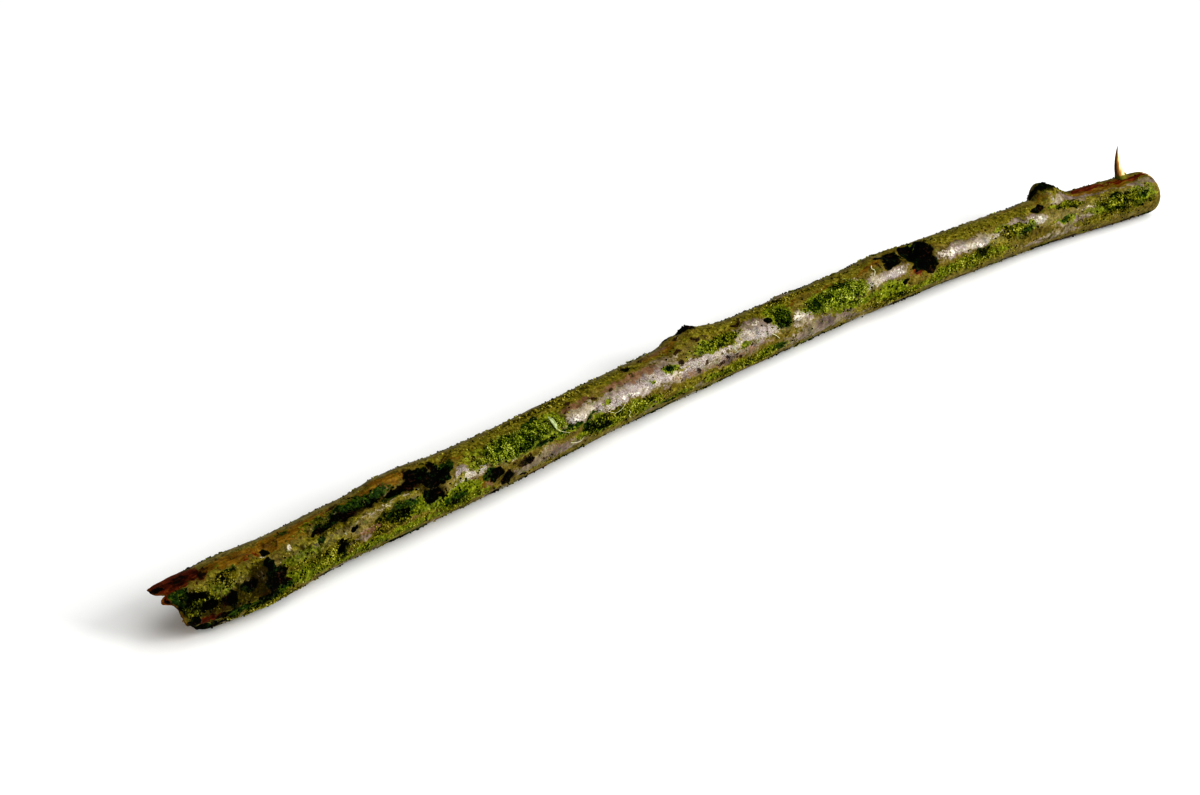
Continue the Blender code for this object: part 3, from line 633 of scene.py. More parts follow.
# Each colour as dark, middle and light; then how glossy the layer's coat is.
barkLook = {
    "plain": ((0.024, 0.017, 0.001), (0.110, 0.083, 0.006), (0.245, 0.194, 0.050), 0.20),
    "bare": ((0.028, 0.018, 0.007), (0.136, 0.102, 0.045), (0.310, 0.260, 0.165), 1.0),
    "mauve": ((0.026, 0.013, 0.009), (0.112, 0.072, 0.050), (0.285, 0.226, 0.192), 1.0),
    "ochre": ((0.040, 0.018, 0.001), (0.118, 0.061, 0.001), (0.235, 0.145, 0.016), 0.16),
    "russet": ((0.040, 0.015, 0.005), (0.120, 0.060, 0.022), (0.240, 0.145, 0.080), 0.55),
    "red": ((0.016, 0.003, 0.001), (0.075, 0.012, 0.001), (0.190, 0.056, 0.010), 0.08),
    # pale skin and ridges, partly a painted highlight along the gloss line
    "pale": ((0.150, 0.125, 0.075), (0.330, 0.290, 0.210), (0.540, 0.500, 0.420), 0.8),
    "olive": ((0.034, 0.029, 0.001), (0.123, 0.105, 0.004), (0.230, 0.195, 0.032), 0.15),
    "green": ((0.014, 0.020, 0.001), (0.100, 0.122, 0.002), (0.226, 0.242, 0.020), 0.08),
    "deep": ((0.001, 0.006, 0.001), (0.012, 0.032, 0.002), (0.060, 0.095, 0.006), 0.02),
    "umber": ((0.002, 0.001, 0.001), (0.014, 0.007, 0.002), (0.070, 0.038, 0.013), 0.05),
    "black": ((0.0004, 0.0005, 0.0003), (0.0020, 0.0015, 0.0008), (0.050, 0.018, 0.008), 0.0),
    "blackGreen": ((0.0004, 0.0006, 0.0003), (0.0012, 0.0022, 0.0006), (0.012, 0.038, 0.005), 0.0),
    # painted shade multiplies the bark colour by this
    "paintedShade": (0.16, 0.14, 0.10),
    "crumb": (0.30, 0.25, 0.07),
    "speck": (0.20, 0.15, 0.10),
    "fleck": (0.075, 0.090, 0.004),
    # amber torn wood at the rim, partly a painted rim light
    "amber": (0.30, 0.12, 0.012),
    "woodDark": (0.10, 0.05, 0.020),
    "woodLight": (0.62, 0.44, 0.24),
    "woodCoat": 0.05,
    "roughness": (0.62, 0.85),
    "coatRoughness": 0.22,
    "specular": 0.02,
    "bump": 0.00018,
    "grainSize": 0.42,
    "patchSize": 3.5,
    # size in mm, detail, roughness and stretch of each noise
    "noises": (
        (1.1, 6, 0.68, (1, 1, 1)),  # middle
        (0.38, 4, 0.65, (1, 1, 1)),  # fine
        (0.55, 5, 0.6, (0.28, 1, 1)),  # streak
        (0.9, 5, 0.65, (1, 0.45, 0.45)),  # wrinkle
        (2.6, 5, 0.6, (1, 1, 1)),  # broad
    ),
    # how far a layer's edge is broken up, and the cover at which it starts and is full
    "edge": (3.2, 0.38, 0.60),
    "edges": {"black": (2.0, 0.38, 0.60), "russet": (3.2, 0.60, 0.80)},
    "paintedShadeEdge": (2.2, 0.25, 0.80),
}


def addFlecks(tree, colour, place, fine):
    # green flecks, dark specks and pale crumbs, everywhere a few
    flecks = addNoise(tree, place, 0.75, 4, 0.7)
    crumbs = addNoise(tree, place, 0.5, 3, 0.7)
    # noise, where a fleck starts and is full, its strength, its colour and how it mixes
    rows = (
        (flecks, 0.58, 0.62, 0.7, "fleck", "MIX"),
        (fine, 0.60, 0.66, 0.65, "speck", "MULTIPLY"),
        (crumbs, 0.62, 0.69, 0.5, "crumb", "MIX"),
    )
    for grain, low, high, strength, tint, blend in rows:
        mask = addMath(tree, "MULTIPLY", addRange(tree, grain, low, high), strength)
        colour = addMix(tree, mask, colour, barkLook[tint], blend)
    return colour


def threeStops(low, high, colours):
    return tuple(zip((low, (low + high) / 2, high), colours))


def barkMaterial():
    material, tree, shader = newMaterial("twig bark")
    place = objectPlace(tree)
    middle, fine, streak, wrinkle, broad = (
        addNoise(tree, objectPlace(tree, stretch), size, detail, roughness)
        for size, detail, roughness, stretch in barkLook["noises"]
    )
    grainGap, grainShade = addCells(tree, place, barkLook["grainSize"])
    mottled = addBlend(tree, middle, fine, 0.45)
    granular = addBlend(tree, mottled, grainShade, 0.22)
    granular = addMath(tree, "SUBTRACT", granular, addMath(tree, "MULTIPLY", grainGap, 0.16))
    # the noise that shades each layer, and where it is dark and light
    tones = {
        "plain": (mottled, 0.37, 0.63),
        "bare": (addBlend(tree, addBlend(tree, mottled, wrinkle, 0.3), broad, 0.35), 0.40, 0.60),
        "ochre": (addBlend(tree, streak, mottled, 0.5), 0.36, 0.64),
        "russet": (addBlend(tree, mottled, wrinkle, 0.3), 0.36, 0.64),
        "pale": (mottled, 0.36, 0.62),
        "olive": (granular, 0.26, 0.60),
        "green": (granular, 0.25, 0.58),
        "deep": (granular, 0.28, 0.62),
        "red": (addBlend(tree, streak, mottled, 0.4), 0.36, 0.66),
        "umber": (mottled, 0.36, 0.66),
        "black": (mottled, 0.42, 0.64),
    }
    secondHues = {"bare": "mauve", "black": "blackGreen"}
    colour = None
    shine = barkLook["plain"][3]
    for layer, (tone, low, high) in tones.items():
        if layer == "red":
            colour = addFlecks(tree, colour, place, fine)
        ownColour = addRamp(tree, tone, threeStops(low, high, barkLook[layer]))
        if colour is None:
            colour = ownColour
            continue
        if layer in secondHues:
            # a second hue in broad patches
            otherColour = addRamp(tree, tone, threeStops(low, high, barkLook[secondHues[layer]]))
            patches = addRange(tree, addNoise(tree, place, barkLook["patchSize"], 3), 0.42, 0.58)
            ownColour = addMix(tree, patches, ownColour, otherColour)
        if layer == "black":
            # painted shade: darkens the colour and takes away the coat's gloss
            paintedShadeMask = raggedMask(tree, "paintedShade", middle, *barkLook["paintedShadeEdge"])
            colour = addMix(tree, paintedShadeMask, colour, barkLook["paintedShade"], "MULTIPLY")
            shine = addMixValue(tree, paintedShadeMask, shine, 0.0)
        mask = raggedMask(tree, layer, mottled, *barkLook["edges"].get(layer, barkLook["edge"]))
        colour = addMix(tree, mask, colour, ownColour)
        shine = addMixValue(tree, mask, shine, barkLook[layer][3])
    wood = addRange(tree, addAttribute(tree, "wood"), 0.35, 0.65)
    woodColour = addRamp(tree, streak, ((0.36, barkLook["woodDark"]), (0.62, barkLook["woodLight"])))
    colour = addMix(tree, wood, colour, woodColour)
    # amber torn wood at the rim, partly a painted rim light
    amber = addMath(tree, "MULTIPLY", addAttribute(tree, "amber"), addRange(tree, middle, 0.38, 0.55))
    height = addBlend(tree, addBlend(tree, middle, fine, 0.4), streak, 0.3)
    height = addMath(tree, "SUBTRACT", height, addMath(tree, "MULTIPLY", grainGap, 0.12))
    normal = addBump(tree, height, barkLook["bump"])
    feedAll(tree, shader, {
        "Base Color": addMix(tree, amber, colour, barkLook["amber"]),
        "Roughness": addRange(tree, mottled, 0.35, 0.65, *barkLook["roughness"]),
        "Specular IOR Level": barkLook["specular"],
        "Coat Weight": addMixValue(tree, wood, shine, barkLook["woodCoat"]),
        "Coat Roughness": barkLook["coatRoughness"],
        "Normal": normal,
        "Coat Normal": normal,
    })
    return material


def addToScene(name, data):
    thing = bpy.data.objects.new(name, data)
    bpy.context.scene.collection.objects.link(thing)
    return thing


def finishPiece(name, mesh, material, slot, *nodes):
    mesh.materials.clear()
    mesh.materials.append(material)
    mesh.shade_smooth()
    piece = addToScene(name, mesh)
    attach(piece, "root")
    if nodes:
        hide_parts(*nodes)
    print(name, "has", sum(len(face.vertices) - 2 for face in mesh.polygons), "triangles")


def meshFrom(bm, name):
    mesh = bpy.data.meshes.new(name)
    bm.to_mesh(mesh)
    bm.free()
    return mesh


def roundBar(sides, cuts, capped=True):
    # a bar along Z, one unit long and thick, with its walls cut into rings
    bm = bmesh.new()
    bmesh.ops.create_cone(bm, cap_ends=capped, segments=sides, radius1=1, radius2=1, depth=1)
    walls = [edge for edge in bm.edges if edge.verts[0].co.z * edge.verts[1].co.z < 0]
    bmesh.ops.subdivide_edges(bm, edges=walls, cuts=cuts)
    return bm


twigMesh = {
    "sides": 104,
    "step": 0.272,
    "tornRings": 16,
    "leaningRings": 40,
    "roundingRings": 9,
    "endRings": 9,
    "merge": 0.002,
}
# The two ends: the bark stands past the torn wood as a wall, and the far end is worn on top
endForm = {
    "rimJag": 0.22,
    "rimRate": 7,
    "wallReach": 0.93,
    "wallThickness": 0.16,
    "topThickness": 0.16,
    "topAngle": 90,
    "topTurn": 30,
    "wallDepth": 0.3,
    "deepest": 2.5,
    "waveHeight": 0.9,
    "waveRate": 3,
    "splinterJag": 1.5,
    "splinterRate": 7.5,
    "lip": 0.06,
    "lipLength": 0.9,
    "amberBreadth": 0.45,
    "amberAngles": (66, 190),
    "nubAngle": 122,
    "nubTurn": 16,
    "wornAngle": 84,
    "wornTurn": 42,
    "worn": 0.50,
    "wornEdge": (0.35, 0.75),
    "bareEdge": (0.95, 0.82),
    "endRough": 0.18,
    "endRate": 5,
}


def rimPlace(angle):
    rows = twigForm["rim"]
    for (turn, place), (nextTurn, nextPlace) in zip(rows, rows[1:]):
        if turn <= angle <= nextTurn:
            jag = noise.noise(spotOnFace(endForm["rimRate"], angle, 2))
            return between(place, nextPlace, (angle - turn) / (nextTurn - turn)) + endForm["rimJag"] * jag
    return rows[0][1]


def tornPlace(angle, reach):
    # the torn wood leans, and pulled fibres stand out of it
    sideways = spotRound(0, angle, reach * section(twigForm["tornMiddle"])[2]).y
    slow = endForm["waveHeight"] * noise.noise(spotOnFace(endForm["waveRate"] * reach, angle, 0.5))
    jagAt = spotOnFace(reach, angle, 0.5) * endForm["splinterRate"]
    fibres = endForm["splinterJag"] * abs(noise.noise(jagAt))
    wood = twigForm["tornMiddle"] + twigForm["tornLean"] * sideways + slow - fibres
    wall = endForm["wallReach"]
    inside = rimPlace(angle) + endForm["wallDepth"]
    wood = max(wood, inside - endForm["deepest"] * (wall - reach))
    atTop = mound(abs(turnBetween(angle, endForm["topAngle"])) / endForm["topTurn"])
    thickness = endForm["wallThickness"] + endForm["topThickness"] * atTop
    return between(wood, inside, smoothStep(wall - thickness, wall, reach))


def ringRules():
    # the kind of each ring from the torn face to the far end, with its reach, share or place
    first = twigForm["straightFrom"]
    last = twigForm["roundedEnd"] - twigForm["rounding"]
    straight = round((last - first) / twigMesh["step"])
    torn, leaning, rounding, end = (
        twigMesh[key] for key in ("tornRings", "leaningRings", "roundingRings", "endRings")
    )
    rules = [("torn", endForm["wallReach"] * step / torn) for step in range(torn + 1)]
    rules += [("leaning", step / leaning) for step in range(leaning)]
    rules += [("straight", between(first, last, step / straight)) for step in range(straight + 1)]
    rules += [("rounding", step / rounding) for step in range(1, rounding + 1)]
    rules += [("end", 1 - step / end) for step in range(1, end + 1)]
    return rules


def ringPlace(kind, value, angle):
    # place, reach and how bare the wood is, for one ring at one angle
    rounding = twigForm["rounding"]
    corner = twigForm["roundedEnd"] - rounding
    flatReach = 1 - rounding / section(corner)[2]
    if kind == "torn":
        return tornPlace(angle, value), value, smoothStep(*endForm["bareEdge"], value)
    if kind == "leaning":
        place = between(rimPlace(angle), twigForm["straightFrom"], value)
        lip = endForm["lip"] * mound((place - rimPlace(angle)) / endForm["lipLength"])
        return place, 1.0 - lip, 0.0
    if kind == "straight":
        return value, 1.0, 0.0
    if kind == "rounding":
        turn = value * math.pi / 2
        reach = between(flatReach, 1, math.cos(turn))
        worn = endForm["worn"] * mound(abs(turnBetween(angle, endForm["wornAngle"])) / endForm["wornTurn"])
        first, last = endForm["wornEdge"]
        return corner + rounding * math.sin(turn), reach, smoothStep(first - worn, last - worn, value)
    rough = endForm["endRough"] * noise.noise(spotOnFace(value * endForm["endRate"], angle, 4))
    return twigForm["roundedEnd"] + (rough - twigForm["endDish"]) * (1 - value), value * flatReach, 1.0


def amberAt(angle, fromRim):
    # the torn edge is amber at the short nub, and little elsewhere: torn wood, and a painted rim light
    first, last = endForm["amberAngles"]
    if not first < angle < last:
        return 0.0
    atNub = mound(abs(turnBetween(angle, endForm["nubAngle"])) / endForm["nubTurn"])
    return mound(fromRim / endForm["amberBreadth"]) * between(0.4, 1.0, atNub)


def makeTwigBark():
    rules = ringRules()
    lastRing = len(rules) - 1
    bm = roundBar(twigMesh["sides"], lastRing - 1, capped=False)
    layers = {name: bm.verts.layers.float.new(name) for name in (*stains, "wood", "amber")}
    for vert in bm.verts:
        kind, value = rules[round((vert.co.z + 0.5) * lastRing)]
        angle = (270 - math.degrees(math.atan2(vert.co.x, vert.co.y))) % 360
        place, reach, bare = ringPlace(kind, value, angle)
        vert.co = barkPoint(place, angle, reach=reach)
        for name, cover in layersAt(stains, place, angle, section(place)[2]).items():
            vert[layers[name]] = cover
        vert[layers["wood"]] = bare
        if kind == "leaning":
            vert[layers["amber"]] = amberAt(angle, abs(place - rimPlace(angle)))
    bmesh.ops.remove_doubles(bm, verts=bm.verts, dist=twigMesh["merge"] * mm)
    bmesh.ops.recalc_face_normals(bm, faces=bm.faces)
    finishPiece("twigBark", meshFrom(bm, "twigBark"), barkMaterial(), "bark", "twig")


makeTwigBark()


def granuleTemplate():
    # one lump with only 20 faces, a little uneven
    bm = bmesh.new()
    bmesh.ops.create_icosphere(bm, subdivisions=1, radius=1.0)
    height, rate = growthForm["granuleLumps"]
    for vert in bm.verts:
        vert.co *= 1 + height * noise.noise(vert.co * rate)
    return meshFrom(bm, "granule")


def leafletTemplate():
    # a pointed blade, one unit long, folded along its middle, that curls outwards
    bm = bmesh.new()
    bmesh.ops.create_icosphere(bm, subdivisions=1, radius=0.5)
    bmesh.ops.scale(bm, verts=bm.verts, vec=growthForm["leafletSize"])
    bmesh.ops.translate(bm, verts=bm.verts, vec=(0, 0, 0.5))
    for vert in bm.verts:
        vert.co.x += growthForm["leafletCurl"] * vert.co.z * vert.co.z
        vert.co.x -= growthForm["leafletFold"] * abs(vert.co.y)
    return meshFrom(bm, "leaflet")


def joinedCopies(name, template, places, values):
    # one mesh with a copy of the template at every place; values holds one number a copy for each attribute
    holder = addToScene(name, template)
    array = holder.modifiers.new("copies", "ARRAY")
    array.use_relative_offset = False
    array.count = len(places)
    seen = holder.evaluated_get(bpy.context.evaluated_depsgraph_get())
    mesh = bpy.data.meshes.new_from_object(seen)
    bpy.data.objects.remove(holder)
    points = np.zeros(len(mesh.vertices) * 3, np.float32)
    mesh.vertices.foreach_get("co", points)
    points = points.reshape(len(places), -1, 3)
    each = np.array([[list(row) for row in place] for place in places])
    tips = np.clip(points[:, :, 2], 0, 1)
    points = np.einsum("nij,nvj->nvi", each[:, :3, :3], points) + each[:, None, :3, 3]
    points[:, :, 2] = np.maximum(points[:, :, 2], 0)  # nothing reaches under the floor
    mesh.vertices.foreach_set("co", points.astype(np.float32).ravel())
    columns = {key: np.repeat(np.array(value, np.float32), points.shape[1]) for key, value in values.items()}
    columns["tip"] = tips.astype(np.float32).ravel()
    for key, column in columns.items():
        mesh.attributes.new(key, "FLOAT", "POINT").data.foreach_set("value", column)
    mesh.update()
    return mesh


# Each growth's colours from dark to light, once where it is olive brown and once where it is green
crustLook = {
    "stops": (0.0, 0.12, 0.46, 0.82, 1.0),
    "olive": (
        (0.002, 0.002, 0.0005), (0.026, 0.024, 0.001), (0.150, 0.124, 0.010), (0.320, 0.280, 0.045),
        (0.52, 0.48, 0.17),
    ),
    "green": (
        (0.001, 0.002, 0.0005), (0.014, 0.024, 0.001), (0.120, 0.140, 0.006), (0.288, 0.312, 0.028),
        (0.44, 0.46, 0.12),
    ),
    "specular": 0.02,
    "bump": 0.00005,
}
mossLook = {
    "stops": (0.0, 0.13, 0.46, 0.84, 1.0),
    "olive": (
        (0.002, 0.003, 0.0005), (0.020, 0.030, 0.001), (0.155, 0.165, 0.010), (0.350, 0.350, 0.045),
        (0.46, 0.46, 0.12),
    ),
    "green": (
        (0.001, 0.003, 0.0005), (0.014, 0.036, 0.001), (0.145, 0.185, 0.009), (0.330, 0.370, 0.045),
        (0.46, 0.50, 0.12),
    ),
    "rootColour": (0.003, 0.009, 0.001),
    "specular": 0.03,
    "bump": 0.00004,
}


def growthMaterial(name, look):
    material, tree, shader = newMaterial(name)
    place = objectPlace(tree)
    fine = addNoise(tree, place, 0.22, 3)
    shade = addShift(tree, addAttribute(tree, "shade"), addNoise(tree, place, 2.0), 1.1)
    shade = addShift(tree, shade, fine, 0.5)
    oliveSide, greenSide = (
        addRamp(tree, shade, tuple(zip(look["stops"], look[key]))) for key in ("olive", "green")
    )
    colour = addMix(tree, addAttribute(tree, "hue"), oliveSide, greenSide)
    if "rootColour" in look:
        risen = addRange(tree, addAttribute(tree, "tip"), 0.0, 0.75)
        colour = addMix(tree, risen, look["rootColour"], colour)
    feedAll(tree, shader, {
        "Base Color": colour,
        "Roughness": addRange(tree, fine, 0.3, 0.7, 0.7, 0.95),
        "Specular IOR Level": look["specular"],
        "Normal": addBump(tree, fine, look["bump"], 0.8),
    })
    return material


crustMaterial = growthMaterial("lichen granules", crustLook)
mossMaterial = growthMaterial("moss leaflets", mossLook)

# name, place, angle, half length, half width round the twig
growths = (
    ("lichen_near_end", -99.3, 148, 3.2, 2.3),
    ("lichen_near_flank", -94.2, 124, 2.3, 1.4),
    ("lichen_near_underedge", -88.5, 206, 7.0, 1.2),
    ("lichen_near_side", -75.5, 174, 5.2, 2.0),
    ("lichen_below_groove", -64.5, 162, 4.6, 2.0),
    ("lichen_low_node", -51.5, 192, 3.6, 1.4),
    ("moss_middle", -38.5, 127, 8.8, 2.0),
    ("lichen_top_edge", -30, 78, 13, 0.9),
    ("lichen_granular_band", -17.5, 171, 9.0, 1.5),
    ("lichen_on_node", 7, 121, 4.6, 1.4),
    ("lichen_top_node", 22.5, 82, 7.5, 0.9),
    ("lichen_low_middle", 11, 193, 7.5, 1.3),
    ("moss_dark_tuft", 19.9, 125, 1.6, 1.9),
    ("moss_far", 32.3, 133, 6.6, 2.1),
    ("lichen_below_scar", 44, 193, 6.0, 1.1),
    ("lichen_far_band", 62, 172, 7.5, 1.5),
    ("lichen_under_bud", 72, 138, 3.4, 1.5),
    ("lichen_past_bud", 86, 120, 3.0, 1.0),
    ("lichen_far_end", 95.8, 149, 5.6, 2.1),
    ("lichen_back_near", -80, 8, 8.5, 2.2),
    ("moss_back_middle", -6, 2, 8.0, 2.2),
    ("lichen_back_far", 44, 358, 8.0, 1.9),
    ("lichen_back_end", 87, 2, 6.0, 1.8),
)
growthForm = {
    "lobes": ((3, 0.14), (5, 0.09), (8, 0.06)),
    "crustHeight": 0.22,
    "crustDepth": 0.10,
    "crustJag": 0.16,
    "crustSides": 56,
    "crustRings": 18,
    "crustShade": (0.16, 0.3, 0.5),  # its mean, how much its lumps lighten it, how much the dark layers and painted shade below darken it
    "clumps": (-0.35, 0.3),
    "thinnerAtEdge": 0.65,
    "granuleLumps": (0.22, 1.7),
    "granulesPerSquare": 15,
    "granuleSizes": (0.09, 0.21),
    "granuleRise": (0, 0.30),
    "granuleShade": (0.44, 0.2),
    "hueSpread": 0.15,
    "shootsPerSquare": 4.6,
    "shootLean": 0.35,
    "shootVigour": (0.8, 1.15),
    "shootShade": (0.46, 0.18),
    "shootHeight": 0.28,
    "leafletsPerShoot": 8,
    "leafletSize": (0.16, 0.42, 1.0),
    "leafletCurl": 0.34,
    "leafletFold": 0.30,
    "leafletTilts": (1.25, 0.25),
    "leafletLengths": (0.42, 0.85),
    "leafletStep": 0.382,  # of a full turn from one leaflet to the next
    "brightestFall": 1.7,
    "brightestLeast": 0.08,
    # how much each layer on the bark below makes a growth green, and how much it darkens it, painted shade
    # among them
    "hueWithout": 0.15,
    "hueOf": {"green": 0.75, "deep": 0.4, "olive": -0.3, "russet": -0.5},
    "dropOf": {"deep": 0.42, "paintedShade": 0.30, "black": 0.90},
}


def tintAt(place, angle):
    # how green a growth is here, from 0, olive brown, to 1, and how far its shade drops under dark layers
    # and painted shade
    hueOf, dropOf = growthForm["hueOf"], growthForm["dropOf"]
    cover = layersAt({**hueOf, **dropOf}, place, angle, section(round(place, 3))[2])
    hue = growthForm["hueWithout"] + sum(share * cover[layer] for layer, share in hueOf.items())
    return clamp(hue), sum(share * cover[layer] for layer, share in dropOf.items())


def shadeBelow(shade, drop):
    # a shade that is darker, and never bright, where the bark below is dark or carries painted shade
    brightest = max(1 - growthForm["brightestFall"] * drop, growthForm["brightestLeast"])
    return min(shade - drop, brightest)


def randomSpin(dice):
    return Matrix.Rotation(dice.uniform(0, 6.28), 4, "Z") @ Matrix.Rotation(dice.uniform(0, 6.28), 4, "X")


def lobed(turn, seed):
    return 1 + sum(share * math.sin(count * turn + seed * count) for count, share in growthForm["lobes"])


def growthSpot(growth, reach, turn):
    # place and angle on the bark for one spot of a growth
    place, angle, halfLength, halfWidth = growth[1:]
    across = math.degrees(halfWidth * reach * math.sin(turn) / section(round(place, 3))[2])
    return place + halfLength * reach * math.cos(turn), angle - across


def makeCrustBase(growth, seed):
    # a thin uneven skin under the granules, its underside just inside the bark
    bm = bmesh.new()
    sides, rings = growthForm["crustSides"], growthForm["crustRings"]
    bmesh.ops.create_uvsphere(bm, u_segments=sides, v_segments=rings, radius=1.0)
    mean, lumpShare, dropShare = growthForm["crustShade"]
    shade, hue, tip = (bm.verts.layers.float.new(key) for key in ("shade", "hue", "tip"))
    for vert in bm.verts:
        turn = math.atan2(vert.co.y, vert.co.x)
        reach = math.hypot(vert.co.x, vert.co.y) * lobed(turn, seed)
        jagAt = Vector((3 * math.cos(turn), 3 * math.sin(turn), seed))
        reach *= 1 + growthForm["crustJag"] * noise.noise(jagAt)
        place, angle = growthSpot(growth, reach, turn)
        lumps = noise.noise(Vector((place * 1.1, angle * 0.09, seed)))
        rise = max(vert.co.z, 0) * growthForm["crustHeight"] * (0.75 + lumps)
        vert.co = barkPoint(place, angle, rise - growthForm["crustDepth"])
        vert[hue], drop = tintAt(place, angle)
        vert[shade] = mean + lumpShare * lumps - dropShare * drop
        vert[tip] = 0.3
    return bm


def scatterSpots(growth, seed, perSquare, dice):
    # spots inside the lobed outline, in clumps, thinner towards the edge
    count = round(math.pi * growth[3] * growth[4] * perSquare)
    spots = []
    while len(spots) < count:
        reach = math.sqrt(dice.random())
        turn = dice.uniform(0, 2 * math.pi)
        place, angle = growthSpot(growth, reach * lobed(turn, seed), turn)
        clump = noise.noise(Vector((place * 0.9, angle * 0.075, seed + 5)))
        middling = 1 - growthForm["thinnerAtEdge"] * reach ** 4
        if dice.random() < smoothStep(*growthForm["clumps"], clump) * middling:
            spots.append((place, angle, reach))
    return spots


def lichenCopies(growth, seed):
    dice = random.Random(seed * 17)
    places = []
    values = {"shade": [], "hue": []}
    for place, angle, reach in scatterSpots(growth, seed, growthForm["granulesPerSquare"], dice):
        size = dice.uniform(*growthForm["granuleSizes"]) * (1.15 - 0.4 * reach)
        rise = dice.uniform(*growthForm["granuleRise"]) * (1 - reach * reach)
        spin = randomSpin(dice)
        flat = Matrix.Diagonal((1.0, dice.uniform(0.7, 1.0), dice.uniform(0.6, 0.95), 1))
        places.append(barkFrame(place, angle, rise) @ spin @ Matrix.Scale(size * mm, 4) @ flat)
        hue, drop = tintAt(place, angle)
        values["shade"].append(shadeBelow(dice.gauss(*growthForm["granuleShade"]) + 0.5 * rise, drop))
        values["hue"].append(clamp(hue + dice.gauss(0, growthForm["hueSpread"])))
    return places, values


def mossCopies(growth, seed):
    dice = random.Random(seed * 23)
    places = []
    values = {"shade": [], "hue": []}
    leaflets = growthForm["leafletsPerShoot"]
    for place, angle, reach in scatterSpots(growth, seed, growthForm["shootsPerSquare"], dice):
        stand = barkFrame(place, angle, 0.02)
        for axis in "XY":
            stand = stand @ Matrix.Rotation(dice.gauss(0, growthForm["shootLean"]), 4, axis)
        vigour = (1.1 - 0.45 * reach) * dice.uniform(*growthForm["shootVigour"])
        hue, drop = tintAt(place, angle)
        shootShade = dice.gauss(*growthForm["shootShade"])
        for index in range(leaflets):
            up = index / leaflets
            turn = 6.283 * index * growthForm["leafletStep"] + dice.uniform(-0.3, 0.3)
            tilt = between(*growthForm["leafletTilts"], up) + dice.gauss(0, 0.12)
            length = dice.uniform(*growthForm["leafletLengths"]) * vigour
            lift = Matrix.Translation((0, 0, growthForm["shootHeight"] * mm * up * vigour))
            spin = Matrix.Rotation(turn, 4, "Z") @ Matrix.Rotation(tilt, 4, "Y")
            places.append(stand @ lift @ spin @ Matrix.Scale(length * mm, 4))
            values["shade"].append(shadeBelow(shootShade + dice.gauss(0, 0.12) + 0.2 * up, drop))
            values["hue"].append(hue)
    return places, values


def makeGrowth(growth, seed):
    name = growth[0]
    if name.startswith("moss"):
        copies = joinedCopies(name, leafletShape, *mossCopies(growth, seed))
        prefix, material, slot = "leaflets", mossMaterial, "moss"
    else:
        copies = joinedCopies(name, granuleShape, *lichenCopies(growth, seed))
        prefix, material, slot = "granules", crustMaterial, "lichen"
    bm = makeCrustBase(growth, seed)
    bm.from_mesh(copies)
    finishPiece(prefix + name.title().replace("_", ""), meshFrom(bm, name), material, slot, name)


granuleShape = granuleTemplate()
leafletShape = leafletTemplate()
for seed, growth in enumerate(growths, start=1):
    makeGrowth(growth, seed)


looseGrowth = {
    "seed": 77,
    "tries": 60000,
    "places": (-102.5, 103),
    "sizes": (0.06, 0.19),
    "shade": (0.42, 0.2),
    "darkShade": 0.05,
    "darkShare": 0.22,
    # how common they are on each layer, how rare the last layers make them, and strays elsewhere
    "chanceOn": {"green": 0.9, "deep": 0.6, "olive": 0.35},
    "rareOn": ("red", "ochre", "russet"),
    "rarer": 0.8,
    "strays": 0.16,
    "clumps": (-0.25, 0.3),
}


def looseChance(place, angle):
    # granules are common on green bark, rare on red, ochre and russet bark, and always in clumps
    clump = noise.noise(Vector((place * 0.9, angle * 0.08, 3)))
    strays = noise.noise(Vector((place * 0.35, angle * 0.03, 8)))
    common, rare = looseGrowth["chanceOn"], looseGrowth["rareOn"]
    cover = layersAt((*common, *rare), place, angle, section(place)[2])
    chance = sum(share * cover[layer] for layer, share in common.items())
    chance *= smoothStep(*looseGrowth["clumps"], clump)
    chance += looseGrowth["strays"] * smoothStep(0.0, 0.4, clump) * smoothStep(-0.1, 0.3, strays)
    return chance * (1 - looseGrowth["rarer"] * max(cover[layer] for layer in rare))


def makeLooseGranules():
    dice = random.Random(looseGrowth["seed"])
    places = []
    values = {"shade": [], "hue": []}
    for _ in range(looseGrowth["tries"]):
        place = dice.uniform(*looseGrowth["places"])
        angle = dice.uniform(0, 360)
        if place < rimPlace(angle) + 1 or dice.random() > looseChance(place, angle):
            continue
        size = dice.uniform(*looseGrowth["sizes"])
        stand = barkFrame(place, angle, 0.25 * size)
        places.append(stand @ randomSpin(dice) @ Matrix.Scale(size * mm, 4))
        hue, drop = tintAt(place, angle)
        dark = dice.random() < looseGrowth["darkShare"]
        shade = looseGrowth["darkShade"] if dark else dice.gauss(*looseGrowth["shade"])
        values["shade"].append(shadeBelow(shade, drop))
        values["hue"].append(clamp(hue + dice.gauss(0, growthForm["hueSpread"])))
    mesh = joinedCopies("looseGranules", granuleShape, places, values)
    finishPiece("looseGranules", mesh, crustMaterial, "lichen")


makeLooseGranules()


def strandAlong(points, radii, sides=6):
    # a round strand through the points, closed at both ends
    bm = roundBar(sides, len(points) * 4 - 1)
    for vert in bm.verts:
        share = (vert.co.z + 0.5) * (len(points) - 1)
        index = min(int(share), len(points) - 2)
        first, last = points[index], points[index + 1]
        before = points[max(index - 1, 0)]
        after = points[min(index + 2, len(points) - 1)]
        middle = smoothCurve(first, (last - before) / 2, last, (after - first) / 2, share - index)
        ahead = (last - first).normalized()
        sideways = ahead.orthogonal().normalized()
        upward = ahead.cross(sideways)
        radius = between(*radii, share / (len(points) - 1)) * mm
        vert.co = middle + (sideways * vert.co.x + upward * vert.co.y) * radius
    bmesh.ops.recalc_face_normals(bm, faces=bm.faces)
    return bm


